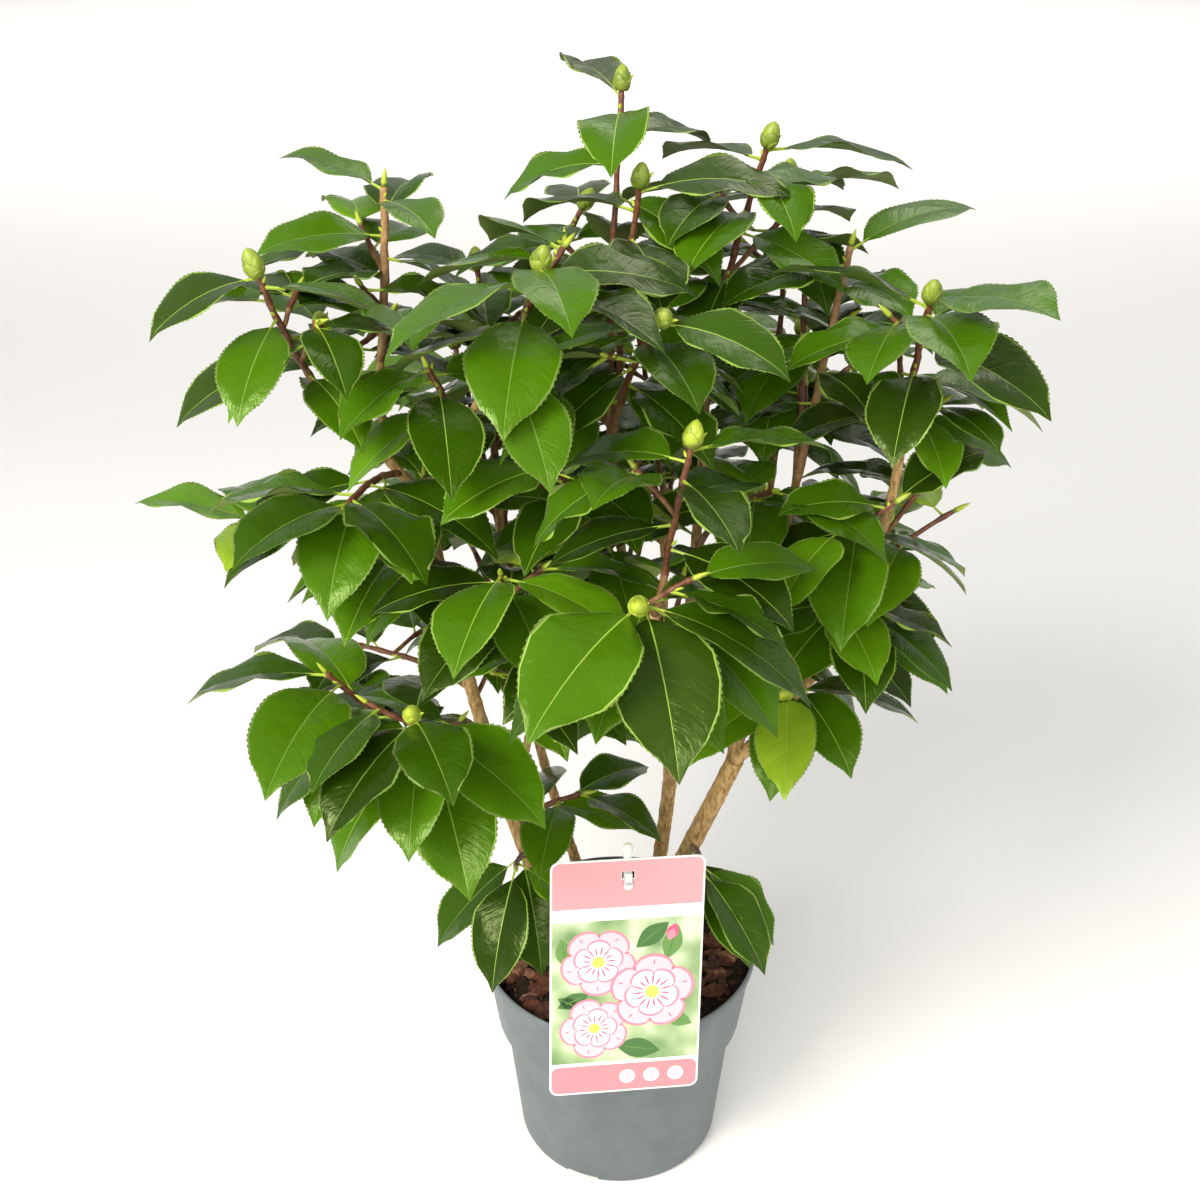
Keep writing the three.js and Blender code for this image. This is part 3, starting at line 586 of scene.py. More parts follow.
def leafPattern():
    # one leaf's corners as (up the blade, across, out in mm, sunk in mm), and its faces with their slots:
    # 0 blade, 1 margin, 2 midrib, 3 underside
    corners, faces, slots = [], [], []
    last = len(bladeOutline) - 1
    teeth = leafLook["teethPerStretch"]

    def corner(*values):
        corners.append(values)
        return len(corners) - 1

    tip = corner(1, 0, 0, 0)
    rows = []
    for k, (up, share) in enumerate(bladeOutline[:-1]):
        row = {"keel": corner(up, 0, 0, leafLook["thickness"])}
        for sign in (1, -1):
            row["rib", sign] = corner(up, sign * 0.001, sign * leafLook["ribHalf"] * (1 - 0.8 * up), 0)
            row["mid", sign] = corner(up, sign * 0.5, 0, 0)
            row["in", sign] = corner(up, sign * leafLook["marginShare"], 0, 0)
            row["edge", sign] = corner(up, sign, 0, 0)
        rows.append(row)
    rows.append({(part, sign): tip for part in ("rib", "mid", "in", "edge") for sign in (1, -1)})
    rows[-1]["keel"] = tip

    def face(loop, slotIndex, sign):
        loop = [c for i, c in enumerate(loop) if c != loop[i - 1]]
        faces.append(loop if sign > 0 else loop[::-1])
        slots.append(slotIndex)

    for k in range(last):
        low, high = rows[k], rows[k + 1]
        for sign in (1, -1):
            outline = [low["edge", sign]]
            if k in toothedStretches:
                for tooth in range(teeth):
                    for place, out in ((tooth + 0.72, 1), (tooth + 1, -0.35)):
                        if place == teeth:
                            continue
                        up, share = onOutline(k, place / teeth)
                        size = leafLook["toothDepth"] * (0.6 if out < 0 else 1)
                        outline.append(corner(up, sign, sign * out * size, 0))
            outline.append(high["edge", sign])
            face([low["in", sign], *outline, high["in", sign]][::-1], 1, sign)
            face([low["mid", sign], low["in", sign], high["in", sign], high["mid", sign]][::-1], 0, sign)
            face([low["rib", sign], low["mid", sign], high["mid", sign], high["rib", sign]][::-1], 0, sign)
            face([low["keel"], *outline, high["keel"]], 3, sign)
        face([low["rib", 1], low["rib", -1], high["rib", -1], high["rib", 1]], 2, 1)
    foot = rows[0]
    ends = [foot[part, 1] for part in ("rib", "mid", "in", "edge")]
    ends += [foot["keel"]] + [foot[part, -1] for part in ("edge", "in", "mid", "rib")]
    face(ends, 2, -1)
    return corners, faces, slots


def bladeShare(up):
    for k in range(len(bladeOutline) - 1):
        if up <= bladeOutline[k + 1][0]:
            span = bladeOutline[k + 1][0] - bladeOutline[k][0]
            return max(0, onOutline(k, (up - bladeOutline[k][0]) / span)[1])
    return 0


leafCorners, leafFaces, leafSlots = leafPattern()
leafShares = [bladeShare(up) for up, *_ in leafCorners]


def leafFrame(leaf, along):
    # the middle of the leaf at a share of its length, the way ahead, across and up from its face
    pitch, droop, size = leaf["pitch"], leaf["droop"], leaf["size"]
    there = pitch - droop * along
    out = size * (math.sin(pitch) - math.sin(there)) / droop
    rise = size * (math.cos(there) - math.cos(pitch)) / droop
    heading = Vector((math.cos(leaf["turn"]), math.sin(leaf["turn"]), 0))
    side = Vector((-heading.y, heading.x, 0))
    hook = math.radians(leafLook["hook"]) * max(0, (along - 0.86) / 0.14) ** 2
    ahead = heading * math.cos(there - hook) + Vector((0, 0, math.sin(there - hook)))
    turn = Quaternion(ahead, leaf["roll"])
    middle = leaf["root"] + heading * out + Vector((0, 0, rise - hook * 3))
    return middle, ahead, turn @ side, turn @ ahead.cross(side)


def pourLeaf(pile, leaf, shade, draw):
    stalk = leafLook["stalkShare"]
    frames = {}
    points, uvs = [], []
    fold = leafLook["fold"] * between(draw, 0.5, 1.5)
    waves, phase = between(draw, 1.2, 2.4), between(draw, 0, 6.28)
    lift = leafLook["wave"] * leaf["size"] * between(draw, 0.2, 1)
    for (up, across, out, sunk), share in zip(leafCorners, leafShares):
        if up not in frames:
            frames[up] = leafFrame(leaf, stalk + (1 - stalk) * up)
        middle, ahead, side, above = frames[up]
        reach = across * leaf["width"] / 2 * share + out * min(1, 12 * share)
        v = abs(across)
        height = fold * abs(reach) * (1 - leafLook["foldLoss"] * v) - sunk - 0.5
        height += leafLook["bulge"] * leaf["width"] * share * (1 - (2 * v - 1) ** 2) * (0.001 < v)
        height += lift * math.sin(waves * 6.28 * up + phase + (0.9 if across > 0 else 0)) * v * v * share
        points.append(middle + side * reach + above * height)
        uvs.append((up, across * 0.5 + 0.5))
    # slots: the shade, then the bright or dull margin and midrib, then the underside
    dull = 0 if shade > 2 or draw() < 0.45 else 2
    ownSlot = (shade, shadeCount + dull, shadeCount + dull + 1, shadeCount + 4)
    pour(pile, points, leafFaces, [ownSlot[slotIndex] for slotIndex in leafSlots], uvs)
    pourStalk(pile, leaf)


def pourStalk(pile, leaf):
    # a short stalk that swells where it leaves the twig and runs into the midrib
    sides = 4
    points = []
    for along, radius, sunk in ((0.0, 1.5, 0.1), (0.05, 0.92, 0.4), (0.16, 0.72, 0.9)):
        middle, ahead, side, above = leafFrame(leaf, along)
        for i in range(sides):
            angle = 2 * math.pi * i / sides
            spoke = side * math.cos(angle) + above * math.sin(angle)
            points.append(middle - above * sunk + spoke * radius * leafLook["stalkRadius"])
    faces = []
    for k in (0, sides):
        for i in range(sides):
            j = (i + 1) % sides
            faces.append([k + i, k + j, k + sides + j, k + sides + i])
    faces += [list(range(sides))[::-1], list(range(2 * sides, 3 * sides))]
    pour(pile, points, faces, [shadeCount + 5] * len(faces))


# A camellia leaf's upper side has a thick waxy skin: dark, glossy, with sunken side veins.
# The greens are plain colours dealt out by spray, from dark old leaves to a few fresh ones.
leafShades = {
    "leafDeep": "#203502", "leafDark": "#2d4c03", "leafFull": "#406706", "leafBright": "#58860b",
    "leafFresh": "#88a826", "leafDusky": "#2a4109",
}
waxTint = "#c4d892"
shadeCount = len(leafShades)


def veinedLeaf(name, colour):
    made = newMaterial(name, colour, 0.3, IOR=1.56, Specular_Tint=linear(waxTint))
    tree, shader = shaderOf(made)
    # the wax is rubbed dull in patches
    linkTo(tree, spreadTo(tree, noise(tree, 14, detail=5, roughness=0.7), 0.12, 0.36), shader, "Roughness")
    blade = addNode(tree, "ShaderNodeUVMap", uv_map="blade").outputs["UV"]
    place = addNode(tree, "ShaderNodeSeparateXYZ", {"Vector": blade})
    away = calculate(tree, "ABSOLUTE", calculate(tree, "SUBTRACT", place.outputs["Y"], 0.5))
    # the side veins sweep forward as they leave the midrib
    upBlade = calculate(tree, "MULTIPLY", place.outputs["X"], leafLook["veins"] * 2 * math.pi)
    sweep = calculate(tree, "MULTIPLY", away, leafLook["veinSweep"])
    phase = calculate(tree, "SUBTRACT", upBlade, sweep)
    crest = {"Value": calculate(tree, "COSINE", phase), "From Min": 0.8, "From Max": 1, "To Max": 0.3}
    vein = addNode(tree, "ShaderNodeMapRange", crest).outputs[0]
    # between the veins the skin is leathery: puckered about every centimetre, and streaked along the veins
    leather = spreadTo(tree, noise(tree, 13, detail=6, roughness=0.45), 0, 5)
    alongVein = addNode(
        tree, "ShaderNodeCombineXYZ", {"X": phase, "Y": calculate(tree, "MULTIPLY", away, 4)}).outputs[0]
    streaks = {"Vector": alongVein, "Scale": 0.8, "Detail": 3, "Roughness": 0.6}
    skin = calculate(tree, "ADD", leather, addNode(tree, "ShaderNodeTexNoise", streaks).outputs["Fac"])
    bump(tree, shader, calculate(tree, "SUBTRACT", skin, vein), 0.5, 0.55)
    return made


leafMaterials = [veinedLeaf(name, colour) for name, colour in leafShades.items()]
leafMaterials += [
    newMaterial("leafMargin", "#8bac44", 0.42, IOR=1.46),     # the finely toothed edge, thin enough to glow
    newMaterial("leafMidrib", "#8fb042", 0.4, IOR=1.46),
    newMaterial("leafMarginDull", "#648332", 0.42, IOR=1.46),   # the same two on an older leaf
    newMaterial("leafMidribDull", "#6c8c38", 0.4, IOR=1.46),
    newMaterial("leafUnderside", "#7d9248", 0.6, IOR=1.42),   # matt and pale, full of pores
    newMaterial("leafStalk", "#a0b83c", 0.45, IOR=1.45),
]


# the top entries deal darker leaf shades higher up the crown: painted shade
shadeRule = {
    "young": 0.16, "topPaintedShade": 0.3, "topFrom": 540, "topReach": 200, "duskyAbove": 560,
    "steps": (0.22, 0.54, 0.88, 1.04, 1.09),
}


def shadeFor(leaf, height, draw):
    # old leaves are dark and young ones at the tips are fresh; towards the top of the crown darker shades
    # are dealt, as painted shade
    # painted shade: the higher a leaf stands above topFrom, the darker the shade it is dealt
    dark = shadeRule["topPaintedShade"] * max(0, height - shadeRule["topFrom"]) / shadeRule["topReach"]
    deal = draw() + shadeRule["young"] * leaf["along"] - dark
    shade = sum(deal > step for step in shadeRule["steps"])
    return 5 if shade == 0 and height > shadeRule["duskyAbove"] else shade


# ---- the same growth carried on to finer twigs, where there is room for them

fineRule = {
    "seed": 900, "step": 40, "from": 0.3, "stemsFrom": 0.5, "outward": 1.15, "length": (40, 84),
    "thick": 1.7, "leaves": 5, "size": (66, 82), "rise": 12, "leastLeaves": 2, "lowest": 330,
    "frontShare": 0.45, "sidePlaces": (0.66, 0.4, 0.16), "sideTurn": 40, "sideLength": (22, 40),
    "sideLeaves": 3, "sideSize": (62, 78), "sightStep": 7,
}
# where the front view sees past the crown: spots and their radius, in a frame of this many pixels
viewPixels = 1200
openSky = {
    "leftBelowOuterShoot": (235, 432, 52), "leftBelowFarShoot": (262, 622, 22),
    "rightOfOuterBough": (985, 520, 62), "rightBelowBough": (935, 690, 50),
    "leftOfTopShoot": (480, 140, 95), "rightOfTopShoot": (700, 135, 14),
    "aboveLeftSnag": (305, 195, 30), "aboveRightShoot": (915, 240, 18),
    "leftOfStem": (352, 470, 14), "betweenLeftAndFront": (445, 690, 22),
}
skySlack = 10   # pixels that a leaf's middle stays off a spot's edge
placed = []   # the blades and twigs that stand already, each as its middle, its reach and its tree
sights = []   # the ways from the front view's place to the stretches of wood that show from there


def bladeTree(leaf):
    # a leaf as six flat faces
    points = []
    for along, share in ((0.13, 0.25), (0.38, 1), (0.72, 0.8)):
        middle, ahead, side, above = leafFrame(leaf, along)
        half = side * leaf["width"] / 2 * share
        points += [middle - half, middle, middle + half]
    points.append(leafFrame(leaf, 1)[0])
    faces = [(0, 1, 4, 3), (1, 2, 5, 4), (3, 4, 7, 6), (4, 5, 8, 7), (6, 7, 9), (7, 8, 9)]
    return points[4], leaf["size"] * 0.62, BVHTree.FromPolygons(points, faces)


def twigTree(line, radiusAt, start=0.0):
    # a limb or twig as a three-sided tube
    points, faces = [], []
    count = 10
    for k in range(count + 1):
        along = mix(start, 1, k / count)
        points += ringAround(pointOn(line, along), headingOn(line, along), radiusAt(along), 3)
    for k in range(0, 3 * count, 3):
        for i in range(3):
            j = (i + 1) % 3
            faces.append((k + i, k + j, k + 3 + j, k + 3 + i))
    middle = pointOn(line, 0.5)
    return middle, max((p - middle).length for p in points), BVHTree.FromPolygons(points, faces)


def isFree(shape):
    middle, reach, tree = shape
    for otherMiddle, otherReach, otherTree in placed:
        if (otherMiddle - middle).length < reach + otherReach and tree.overlap(otherTree):
            return False
    return True


def noteSights(line, start, end):
    # the stretches of a limb or twig that nothing hides from the front
    count = max(2, round(lengthOf(line) * (end - start) / fineRule["sightStep"]))
    for i in range(count + 1):
        way = pointOn(line, mix(start, end, i / count)) - eye
        hidden = any(
            (middle - eye).cross(way.normalized()).length < reach
            and tree.ray_cast(eye, way.normalized(), way.length - 6)[0]
            for middle, reach, tree in blades)
        if not hidden:
            sights.append((way.normalized(), way.length - 3))


def inView(point):
    # where a point falls in the front view, in pixels from its top left corner
    down = math.radians(view["downDeg"])
    x, y, z = point - eye
    deep = y * math.cos(down) - z * math.sin(down)
    up = y * math.sin(down) + z * math.cos(down)
    scale = viewPixels * view["lens"] / view["sensor"] / deep
    return viewPixels / 2 + x * scale, viewPixels / 2 - up * scale


def keepsView(shape):
    # whether a new blade leaves the stems in sight and the open sky open
    middle, reach, tree = shape
    toMiddle = middle - eye
    left, top = inView(middle)
    for spotLeft, spotTop, radius in openSky.values():
        if math.hypot(left - spotLeft, top - spotTop) < radius + skySlack:
            return False
    for way, length in sights:
        if toMiddle.cross(way).length < reach and tree.ray_cast(eye, way, length)[0]:
            return False
    return True


def insideCrown(point):
    reach = sum(
        abs((p - c) / r) ** crown["squareness"] for p, c, r in zip(point, crown["centre"], crown["radii"]))
    low, high = cadBox
    return reach < 1 and all(a / mm + 2 < p < b / mm - 2 for a, p, b in zip(low, point, high))


def fineTwig(parent, at, compass, length, thick):
    foot, ahead = pointOn(parent["line"], at), headingOn(parent["line"], at)
    outward = Vector((math.cos(compass), math.sin(compass), 0))
    tip = foot + (ahead + outward * fineRule["outward"]).normalized() * length
    return growTwig(foot, tip, (outward + ahead).normalized(), min(thick, parent["radiusAt"](at) * 0.85))


def growFine(parent, at, compass, length, habit, draw):
    # a twig with its leaves, or nothing where too few of them find room
    twig = fineTwig(parent, at, compass, length, fineRule["thick"])
    tube = twigTree(twig["line"], twig["radiusAt"], 0.12)
    if not insideCrown(pointOn(twig["line"], 1)) or not isFree(tube):
        return None
    leaves, shapes = [], [tube]
    for leaf in leavesOf(twig["line"], habit, draw):
        for tried in swung(leaf):
            shape = bladeTree(tried)
            ownFree = all(not shape[2].overlap(other[2]) for other in shapes[1:])
            if ownFree and insideCrown(leafFrame(tried, 1)[0]) and isFree(shape) and keepsView(shape):
                leaves.append(dict(tried, twig=twig))
                shapes.append(shape)
                break
    if len(leaves) < fineRule["leastLeaves"]:
        return None
    placed.extend(shapes)
    return {"spec": {"name": "fine", "seed": 0, "bud": False}, "main": twig, "sides": [], "leaves": leaves}


eye = Vector(view["place"]) / mm
blades = [bladeTree(leaf) for g in grown for leaf in g["leaves"]]
for limb in limbs.values():
    placed.append(twigTree(limb["line"], limb["radiusAt"]))
    noteSights(limb["line"], 0, 1)
for g in grown:
    placed += [twigTree(twig["line"], twig["radiusAt"], 0.05) for twig in [g["main"], *g["sides"]]]
    noteSights(g["main"]["line"], 0.1, 1.1 if g["spec"]["bud"] else 0.9)
placed += blades
fine = []
for place, limb in enumerate(limbs.values()):
    # new twigs along each limb, mostly at its back and inner side, where the crown is dense
    draw = drawsFor(fineRule["seed"] + place)
    first = fineRule["stemsFrom"] if limb["isStem"] else fineRule["from"]
    count = round(limb["length"] * (1 - first) / fineRule["step"])
    for i in range(count):
        at = mix(first, 0.97, (i + draw()) / count)
        compass = math.radians(leafRule["divergence"] * i) + between(draw, 0, 6.28)
        if math.sin(compass) < 0 and draw() > fineRule["frontShare"]:
            compass = -compass
        habit = {"leaves": fineRule["leaves"], "size": between(draw, *fineRule["size"]),
                 "turn": math.degrees(compass), "rise": fineRule["rise"]}
        if pointOn(limb["line"], at).z > fineRule["lowest"]:
            fine.append(growFine(limb, at, compass, between(draw, *fineRule["length"]), habit, draw))
for place, g in enumerate(grown):
    # and short ones along each shoot
    draw = drawsFor(fineRule["seed"] + 50 + place)
    for i, at in enumerate(fineRule["sidePlaces"]):
        turn = g["spec"]["turn"] + fineRule["sideTurn"] + leafRule["divergence"] * (i + 1)
        compass = math.radians(turn) + between(draw, -0.6, 0.6)
        habit = {"leaves": fineRule["sideLeaves"], "size": between(draw, *fineRule["sideSize"]),
                 "turn": math.degrees(compass), "rise": fineRule["rise"]}
        length = between(draw, *fineRule["sideLength"])
        if pointOn(g["main"]["line"], at).z > fineRule["lowest"]:
            fine.append(growFine(g["main"], at, compass, length, habit, draw))
fine = [g for g in fine if g]
for place, g in enumerate(fine):
    g["spec"]["seed"] = fineRule["seed"] + place
grown += fine
print("fine twigs:", len(fine), "with", sum(len(g["leaves"]) for g in fine), "leaves")

# three pieces, by the height of a leaf's root
bandTops = {"low": 440, "middle": 570, "high": 1000}
piles = {part: newPile() for part in bandTops}
for g in grown:
    draw = drawsFor(g["spec"]["seed"] + 100)
    for leaf in g["leaves"]:
        height = leaf["root"].z
        part = next(name for name, top in bandTops.items() if height < top)
        pourLeaf(piles[part], leaf, shadeFor(leaf, height, draw), draw)
foliage = {part: pileToPiece("leaves_" + part, pile, leafMaterials) for part, pile in piles.items()}
shootNames = [spec["name"] for spec in shoots]
for piece in foliage.values():
    pick(piece)
    bpy.ops.object.shade_smooth_by_angle(angle=math.radians(50))   # so that each blade keeps a crisp edge
    rideAs(piece, "foliage", *shootNames)
print("leaves:", {part: len(piece.data.polygons) for part, piece in foliage.items()})


# ---- twigs

twigLook = {"sides": 7, "ringStep": 5.5, "nodeSwell": 0.45, "nodeReach": 2.2, "zigzag": 0.35}
snags = ("shoot_left_snag", "shoot_right_snag")   # twigs that were cut back: thick, tan and blunt


def pourTube(pile, rings, slotAt):
    sides = len(rings[0])
    points = [point for ring in rings for point in ring]
    faces, slots = [], []
    for k in range(len(rings) - 1):
        for i in range(sides):
            j = (i + 1) % sides
            faces.append([k * sides + i, k * sides + j, (k + 1) * sides + j, (k + 1) * sides + i])
            slots.append(slotAt((k + 0.5) / (len(rings) - 1)))
    faces += [list(range(sides))[::-1], list(range(len(points) - sides, len(points)))]
    pour(pile, points, faces, slots + [slotAt(0), slotAt(1)])


def pourTwig(pile, twig, nodes, isSnag):
    # nodes are the places along the twig where leaves leave it; it swells there and kinks a little
    count = max(8, round(twig["length"] / twigLook["ringStep"]))
    places = sorted({i / count for i in range(count + 1)} | {min(max(n, 0), 1) for n in nodes})
    rings = []
    for along in places:
        centre, ahead = pointOn(twig["line"], along), headingOn(twig["line"], along)
        radius = twig["radiusAt"](along) * (1.25 if isSnag else 1)
        near = min((abs(along - n) * twig["length"] for n in nodes), default=99)
        swell = twigLook["nodeSwell"] * math.exp(-(near / twigLook["nodeReach"]) ** 2)
        kink = math.sin(along * len(nodes) * math.pi) * twigLook["zigzag"]
        across = Vector((0, 1, 0)).cross(ahead).normalized()
        rings.append(ringAround(centre + across * kink, ahead, radius + swell, twigLook["sides"]))
    if not isSnag:
        end, ahead = pointOn(twig["line"], 1), headingOn(twig["line"], 1)
        rings.append(ringAround(end + ahead * 1.6, ahead, 0.7, twigLook["sides"]))
    pourTube(pile, rings, lambda along: 0 if isSnag else (1 if along < 0.3 else 2))


def woodLook(name, stops, roughness, depth):
    made = newMaterial(name, stops[0][1], roughness, IOR=1.5)
    tree, shader = shaderOf(made)
    linkTo(tree, ramp(tree, noise(tree, 3.5, detail=6), stops), shader, "Base Color")
    bump(tree, shader, noise(tree, 1.3, detail=5), depth, 0.7)
    return made


# Year-old twigs are tan with a thin dry skin, this year's are red-brown and smoother.
twigMaterials = [
    woodLook("twigCut", ((0.3, "#8a6440"), (0.55, "#a98358"), (0.75, "#c2a076")), 0.75, 0.4),
    woodLook("twigOlder", ((0.3, "#5f3f26"), (0.5, "#7f5a36"), (0.75, "#9c7a4e")), 0.62, 0.3),
    woodLook("twigYoung", ((0.3, "#4c2818"), (0.5, "#693c25"), (0.75, "#875a3c")), 0.5, 0.2),
]
twigPile = newPile()
for g in grown:
    isSnag = g["spec"]["name"] in snags
    for twig in [g["main"], *g["sides"]]:
        nodes = [leaf["along"] for leaf in g["leaves"] if leaf["twig"] is twig]
        pourTwig(twigPile, twig, nodes, isSnag)
twigs = rideAs(pileToPiece("twigs", twigPile, twigMaterials), "foliage", *shootNames)
print("twigs:", len(twigs.data.polygons), "faces")


# ---- buds

budLook = {
    "core": 0.86, "scales": 8, "scaleStep": 0.105, "scaleThick": 0.5, "columns": 4, "rows": 4,
    "spread": 1.15, "leafBudLength": 10, "leafBudRadius": 1.7, "paleBelow": 610,
}


def axesFor(ahead):
    across = Vector((0, 1, 0)).cross(ahead).normalized()
    return across, ahead.cross(across)


def budProfile(up):
    # the share of the bud's radius at a share of its length: full below the middle, then a soft point
    return math.sin(math.pi * min(1, 0.13 + 0.87 * up)) ** 0.52 * (1 - 0.1 * up)


def pourScale(pile, base, ahead, length, radius, turn, start, end, slotIndex):
    # one cupped scale that wraps part of the bud, from start to end of its length
    across, other = axesFor(ahead)
    points = []
    for layer in (0, -budLook["scaleThick"]):
        for r in range(budLook["rows"] + 1):
            up = mix(start, end, r / budLook["rows"])
            taper = math.cos(math.pi / 2 * (r / budLook["rows"]) ** 2.2)
            for c in range(budLook["columns"] + 1):
                angle = turn + budLook["spread"] * taper * (2 * c / budLook["columns"] - 1)
                out = radius * budProfile(up) + layer
                spoke = across * math.cos(angle) + other * math.sin(angle)
                points.append(base + ahead * length * up + spoke * max(0.15, out))
    wide = budLook["columns"] + 1
    sheet = wide * (budLook["rows"] + 1)
    faces = []
    for r in range(budLook["rows"]):
        for c in range(budLook["columns"]):
            a = r * wide + c
            outer = [a, a + 1, a + wide + 1, a + wide]
            inner = [sheet + corner for corner in (a, a + wide, a + wide + 1, a + 1)]
            faces += [outer, inner]
    rim = list(range(wide))
    rim += [r * wide + wide - 1 for r in range(1, budLook["rows"] + 1)]
    rim += [budLook["rows"] * wide + c for c in range(wide - 2, -1, -1)]
    rim += [r * wide for r in range(budLook["rows"] - 1, 0, -1)]
    for i, a in enumerate(rim):
        b = rim[(i + 1) % len(rim)]
        faces.append([b, a, sheet + a, sheet + b])
    pour(pile, points, faces, [slotIndex] * len(faces))


def pourFlowerBud(pile, base, ahead, size, pale, draw):
    # a core, then scales over it from the tip down: each lower one lies outside those above it
    scaleSlots = (0, 1) if pale else (3, 4)
    length, radius = budForm["length"] * size, budForm["radius"] * size
    rings = []
    for up in (0, 0.12, 0.28, 0.45, 0.62, 0.78, 0.9, 1):
        reach = max(0.2, radius * budProfile(up) * budLook["core"])
        rings.append(ringAround(base + ahead * length * up, ahead, reach, 10))
    pourTube(pile, rings, lambda along: scaleSlots[0])
    turn = between(draw, 0, 6.28)
    for k in range(budLook["scales"]):
        end = 1.02 - budLook["scaleStep"] * k
        slotIndex = 2 if k > budLook["scales"] - 3 else scaleSlots[k % 2]
        outside = radius * (0.88 + 0.022 * k)
        pourScale(pile, base, ahead, length, outside, turn + 2.4 * k, -0.02, end, slotIndex)


def pourLeafBud(pile, base, ahead, length, radius):
    # a slender pointed bud that will make next year's shoot
    rings = [ringAround(base + ahead * length * up, ahead, radius * share, 6)
             for up, share in ((-0.1, 0.7), (0.15, 1), (0.45, 0.92), (0.75, 0.55), (1, 0.08))]
    pourTube(pile, rings, lambda along: 0 if along > 0.3 else 2)


# Bud scales are waxy and yellow-green, browner at the foot, and a little light goes into them.
waxy = {"IOR": 1.45, "Subsurface_Weight": 0.12, "Subsurface_Scale": 0.002}
budMaterials = [
    newMaterial("budScale", "#aebf3e", 0.4, **waxy),
    newMaterial("budScaleShaded", "#93a82e", 0.4, **waxy),
    newMaterial("budFoot", "#7d8a30", 0.5, IOR=1.45),
    newMaterial("budScaleGreen", "#8ea03a", 0.4, **waxy),
    newMaterial("budScaleGreenShaded", "#74882c", 0.4, **waxy),
]
for material in budMaterials:
    tree, shader = shaderOf(material)
    bump(tree, shader, noise(tree, 0.9, detail=3), 0.12, 0.5)
budPile = newPile()
for g in grown:
    spec = g["spec"]
    draw = drawsFor(spec["seed"] + 300)
    end, ahead = pointOn(g["main"]["line"], 1), headingOn(g["main"]["line"], 1)
    if spec["bud"]:
        pale = end.z < budLook["paleBelow"]
        pourFlowerBud(budPile, end - ahead * 0.5, ahead, between(draw, 0.86, 1.0), pale, draw)
    for twig in [g["main"], *g["sides"]]:
        tip, heading = pointOn(twig["line"], 1), headingOn(twig["line"], 1)
        side = (heading + axesFor(heading)[0] * (0.75 if spec["bud"] else 0.1)).normalized()
        scale = between(draw, 0.8, 1.15)
        size, radius = budLook["leafBudLength"] * scale, budLook["leafBudRadius"] * scale
        pourLeafBud(budPile, tip + side * 0.6, side, size, radius)
    for leaf in g["leaves"][1::2]:
        # small buds in the angles of the leaves
        heading = headingOn(leaf["twig"]["line"], leaf["along"])
        out = (heading * 1.2 + Vector((math.cos(leaf["turn"]), math.sin(leaf["turn"]), 0))).normalized()
        foot = leaf["root"] + out * leaf["twig"]["radiusAt"](leaf["along"]) * 0.7 + heading * 1.6
        pourLeafBud(budPile, foot, out, between(draw, 3.5, 6), 1.1)
buds = rideAs(pileToPiece("buds", budPile, budMaterials), "foliage", *shootNames)
print("buds:", len(buds.data.polygons), "faces")


# ---- stems and boughs

barkLook = {
    "sides": 20, "ringStep": 1.7, "relief": 0.55, "reliefSize": 4.5, "grain": 0.3, "grainSize": 1.6,
    "scarStep": 21, "scarSwell": 0.35, "scarReach": 1.8,
}


def makeBark(name, limb, seed):
    # a swept tube with old leaf scars, given the bark's relief by displacement
    draw = drawsFor(seed)
    line, length = limb["line"], limb["length"]
    count = round(length / barkLook["ringStep"])
    scars = [between(draw, 0.2, 0.8) + i for i in range(round(length / barkLook["scarStep"]))]
    deselect()
    bpy.ops.curve.primitive_bezier_curve_add()
    piece = bpy.context.object
    curve = piece.data
    curve.splines.clear()
    spline = curve.splines.new("POLY")
    spline.points.add(count)
    lean = [between(draw, -0.6, 0.6) for _ in range(2)]
    for i, point in enumerate(spline.points):
        along = i / count
        place = pointOn(line, along)
        if limb["isStem"]:
            place.z -= 4 * (1 - along) ** 8   # its foot stands in the mix
        sway = math.sin(along * length / 23 + seed)
        place += Vector((lean[0] * sway, lean[1] * sway, 0)) * min(1, 5 * along, 5 * (1 - along))
        near = min((abs(along * length - s * barkLook["scarStep"]) for s in scars), default=99)
        swell = barkLook["scarSwell"] * math.exp(-(near / barkLook["scarReach"]) ** 2)
        point.co = (*(place * mm), 1)
        point.radius = limb["radiusAt"](along) + swell
    curve.dimensions = "3D"
    curve.bevel_depth = mm
    curve.bevel_resolution = barkLook["sides"] // 4
    curve.use_fill_caps = True
    bpy.ops.object.convert(target="MESH")
    piece = bpy.context.object
    piece.name = "bark_" + name
    piece.data.name = piece.name
    for kind in ("relief", "grain"):
        lumps = bpy.data.textures.new("relief", "CLOUDS")
        lumps.noise_scale = barkLook[kind + "Size"] * mm
        lumps.noise_depth = 3
        applyModifier(piece, "DISPLACE", texture=lumps, texture_coords="LOCAL",
                      strength=barkLook[kind] * mm, mid_level=0.5)
    bpy.ops.object.shade_smooth()
    piece.data.materials.clear()
    piece.data.materials.append(barkMaterial)
    return rideAs(settle(piece), "bark", name)


# Young camellia bark is thin, dry and finely rough: tan over brown, with grey weathered patches.
barkMaterial = newMaterial("camelliaBark", "#9c7448", 0.85, IOR=1.5)
tree, shader = shaderOf(barkMaterial)
stretched = stretchedPoint(tree, (1, 1, 0.35))
tans = ((0.32, "#664826"), (0.48, "#a9864e"), (0.66, "#d2b079"))
tan = ramp(tree, noise(tree, 2.4, 8, 0.62, stretched), tans)
grey = ramp(tree, noise(tree, 11, detail=3), ((0.42, "#000000"), (0.68, "#8c8c8c")))
weathered = addNode(
    tree, "ShaderNodeMix", {"Factor": grey, "A": tan, "B": linear("#a99b7e")}, data_type="RGBA")
linkTo(tree, weathered.outputs["Result"], shader, "Base Color")
bump(tree, shader, noise(tree, 1.1, 8, 0.65, stretched), 0.5, 0.8)

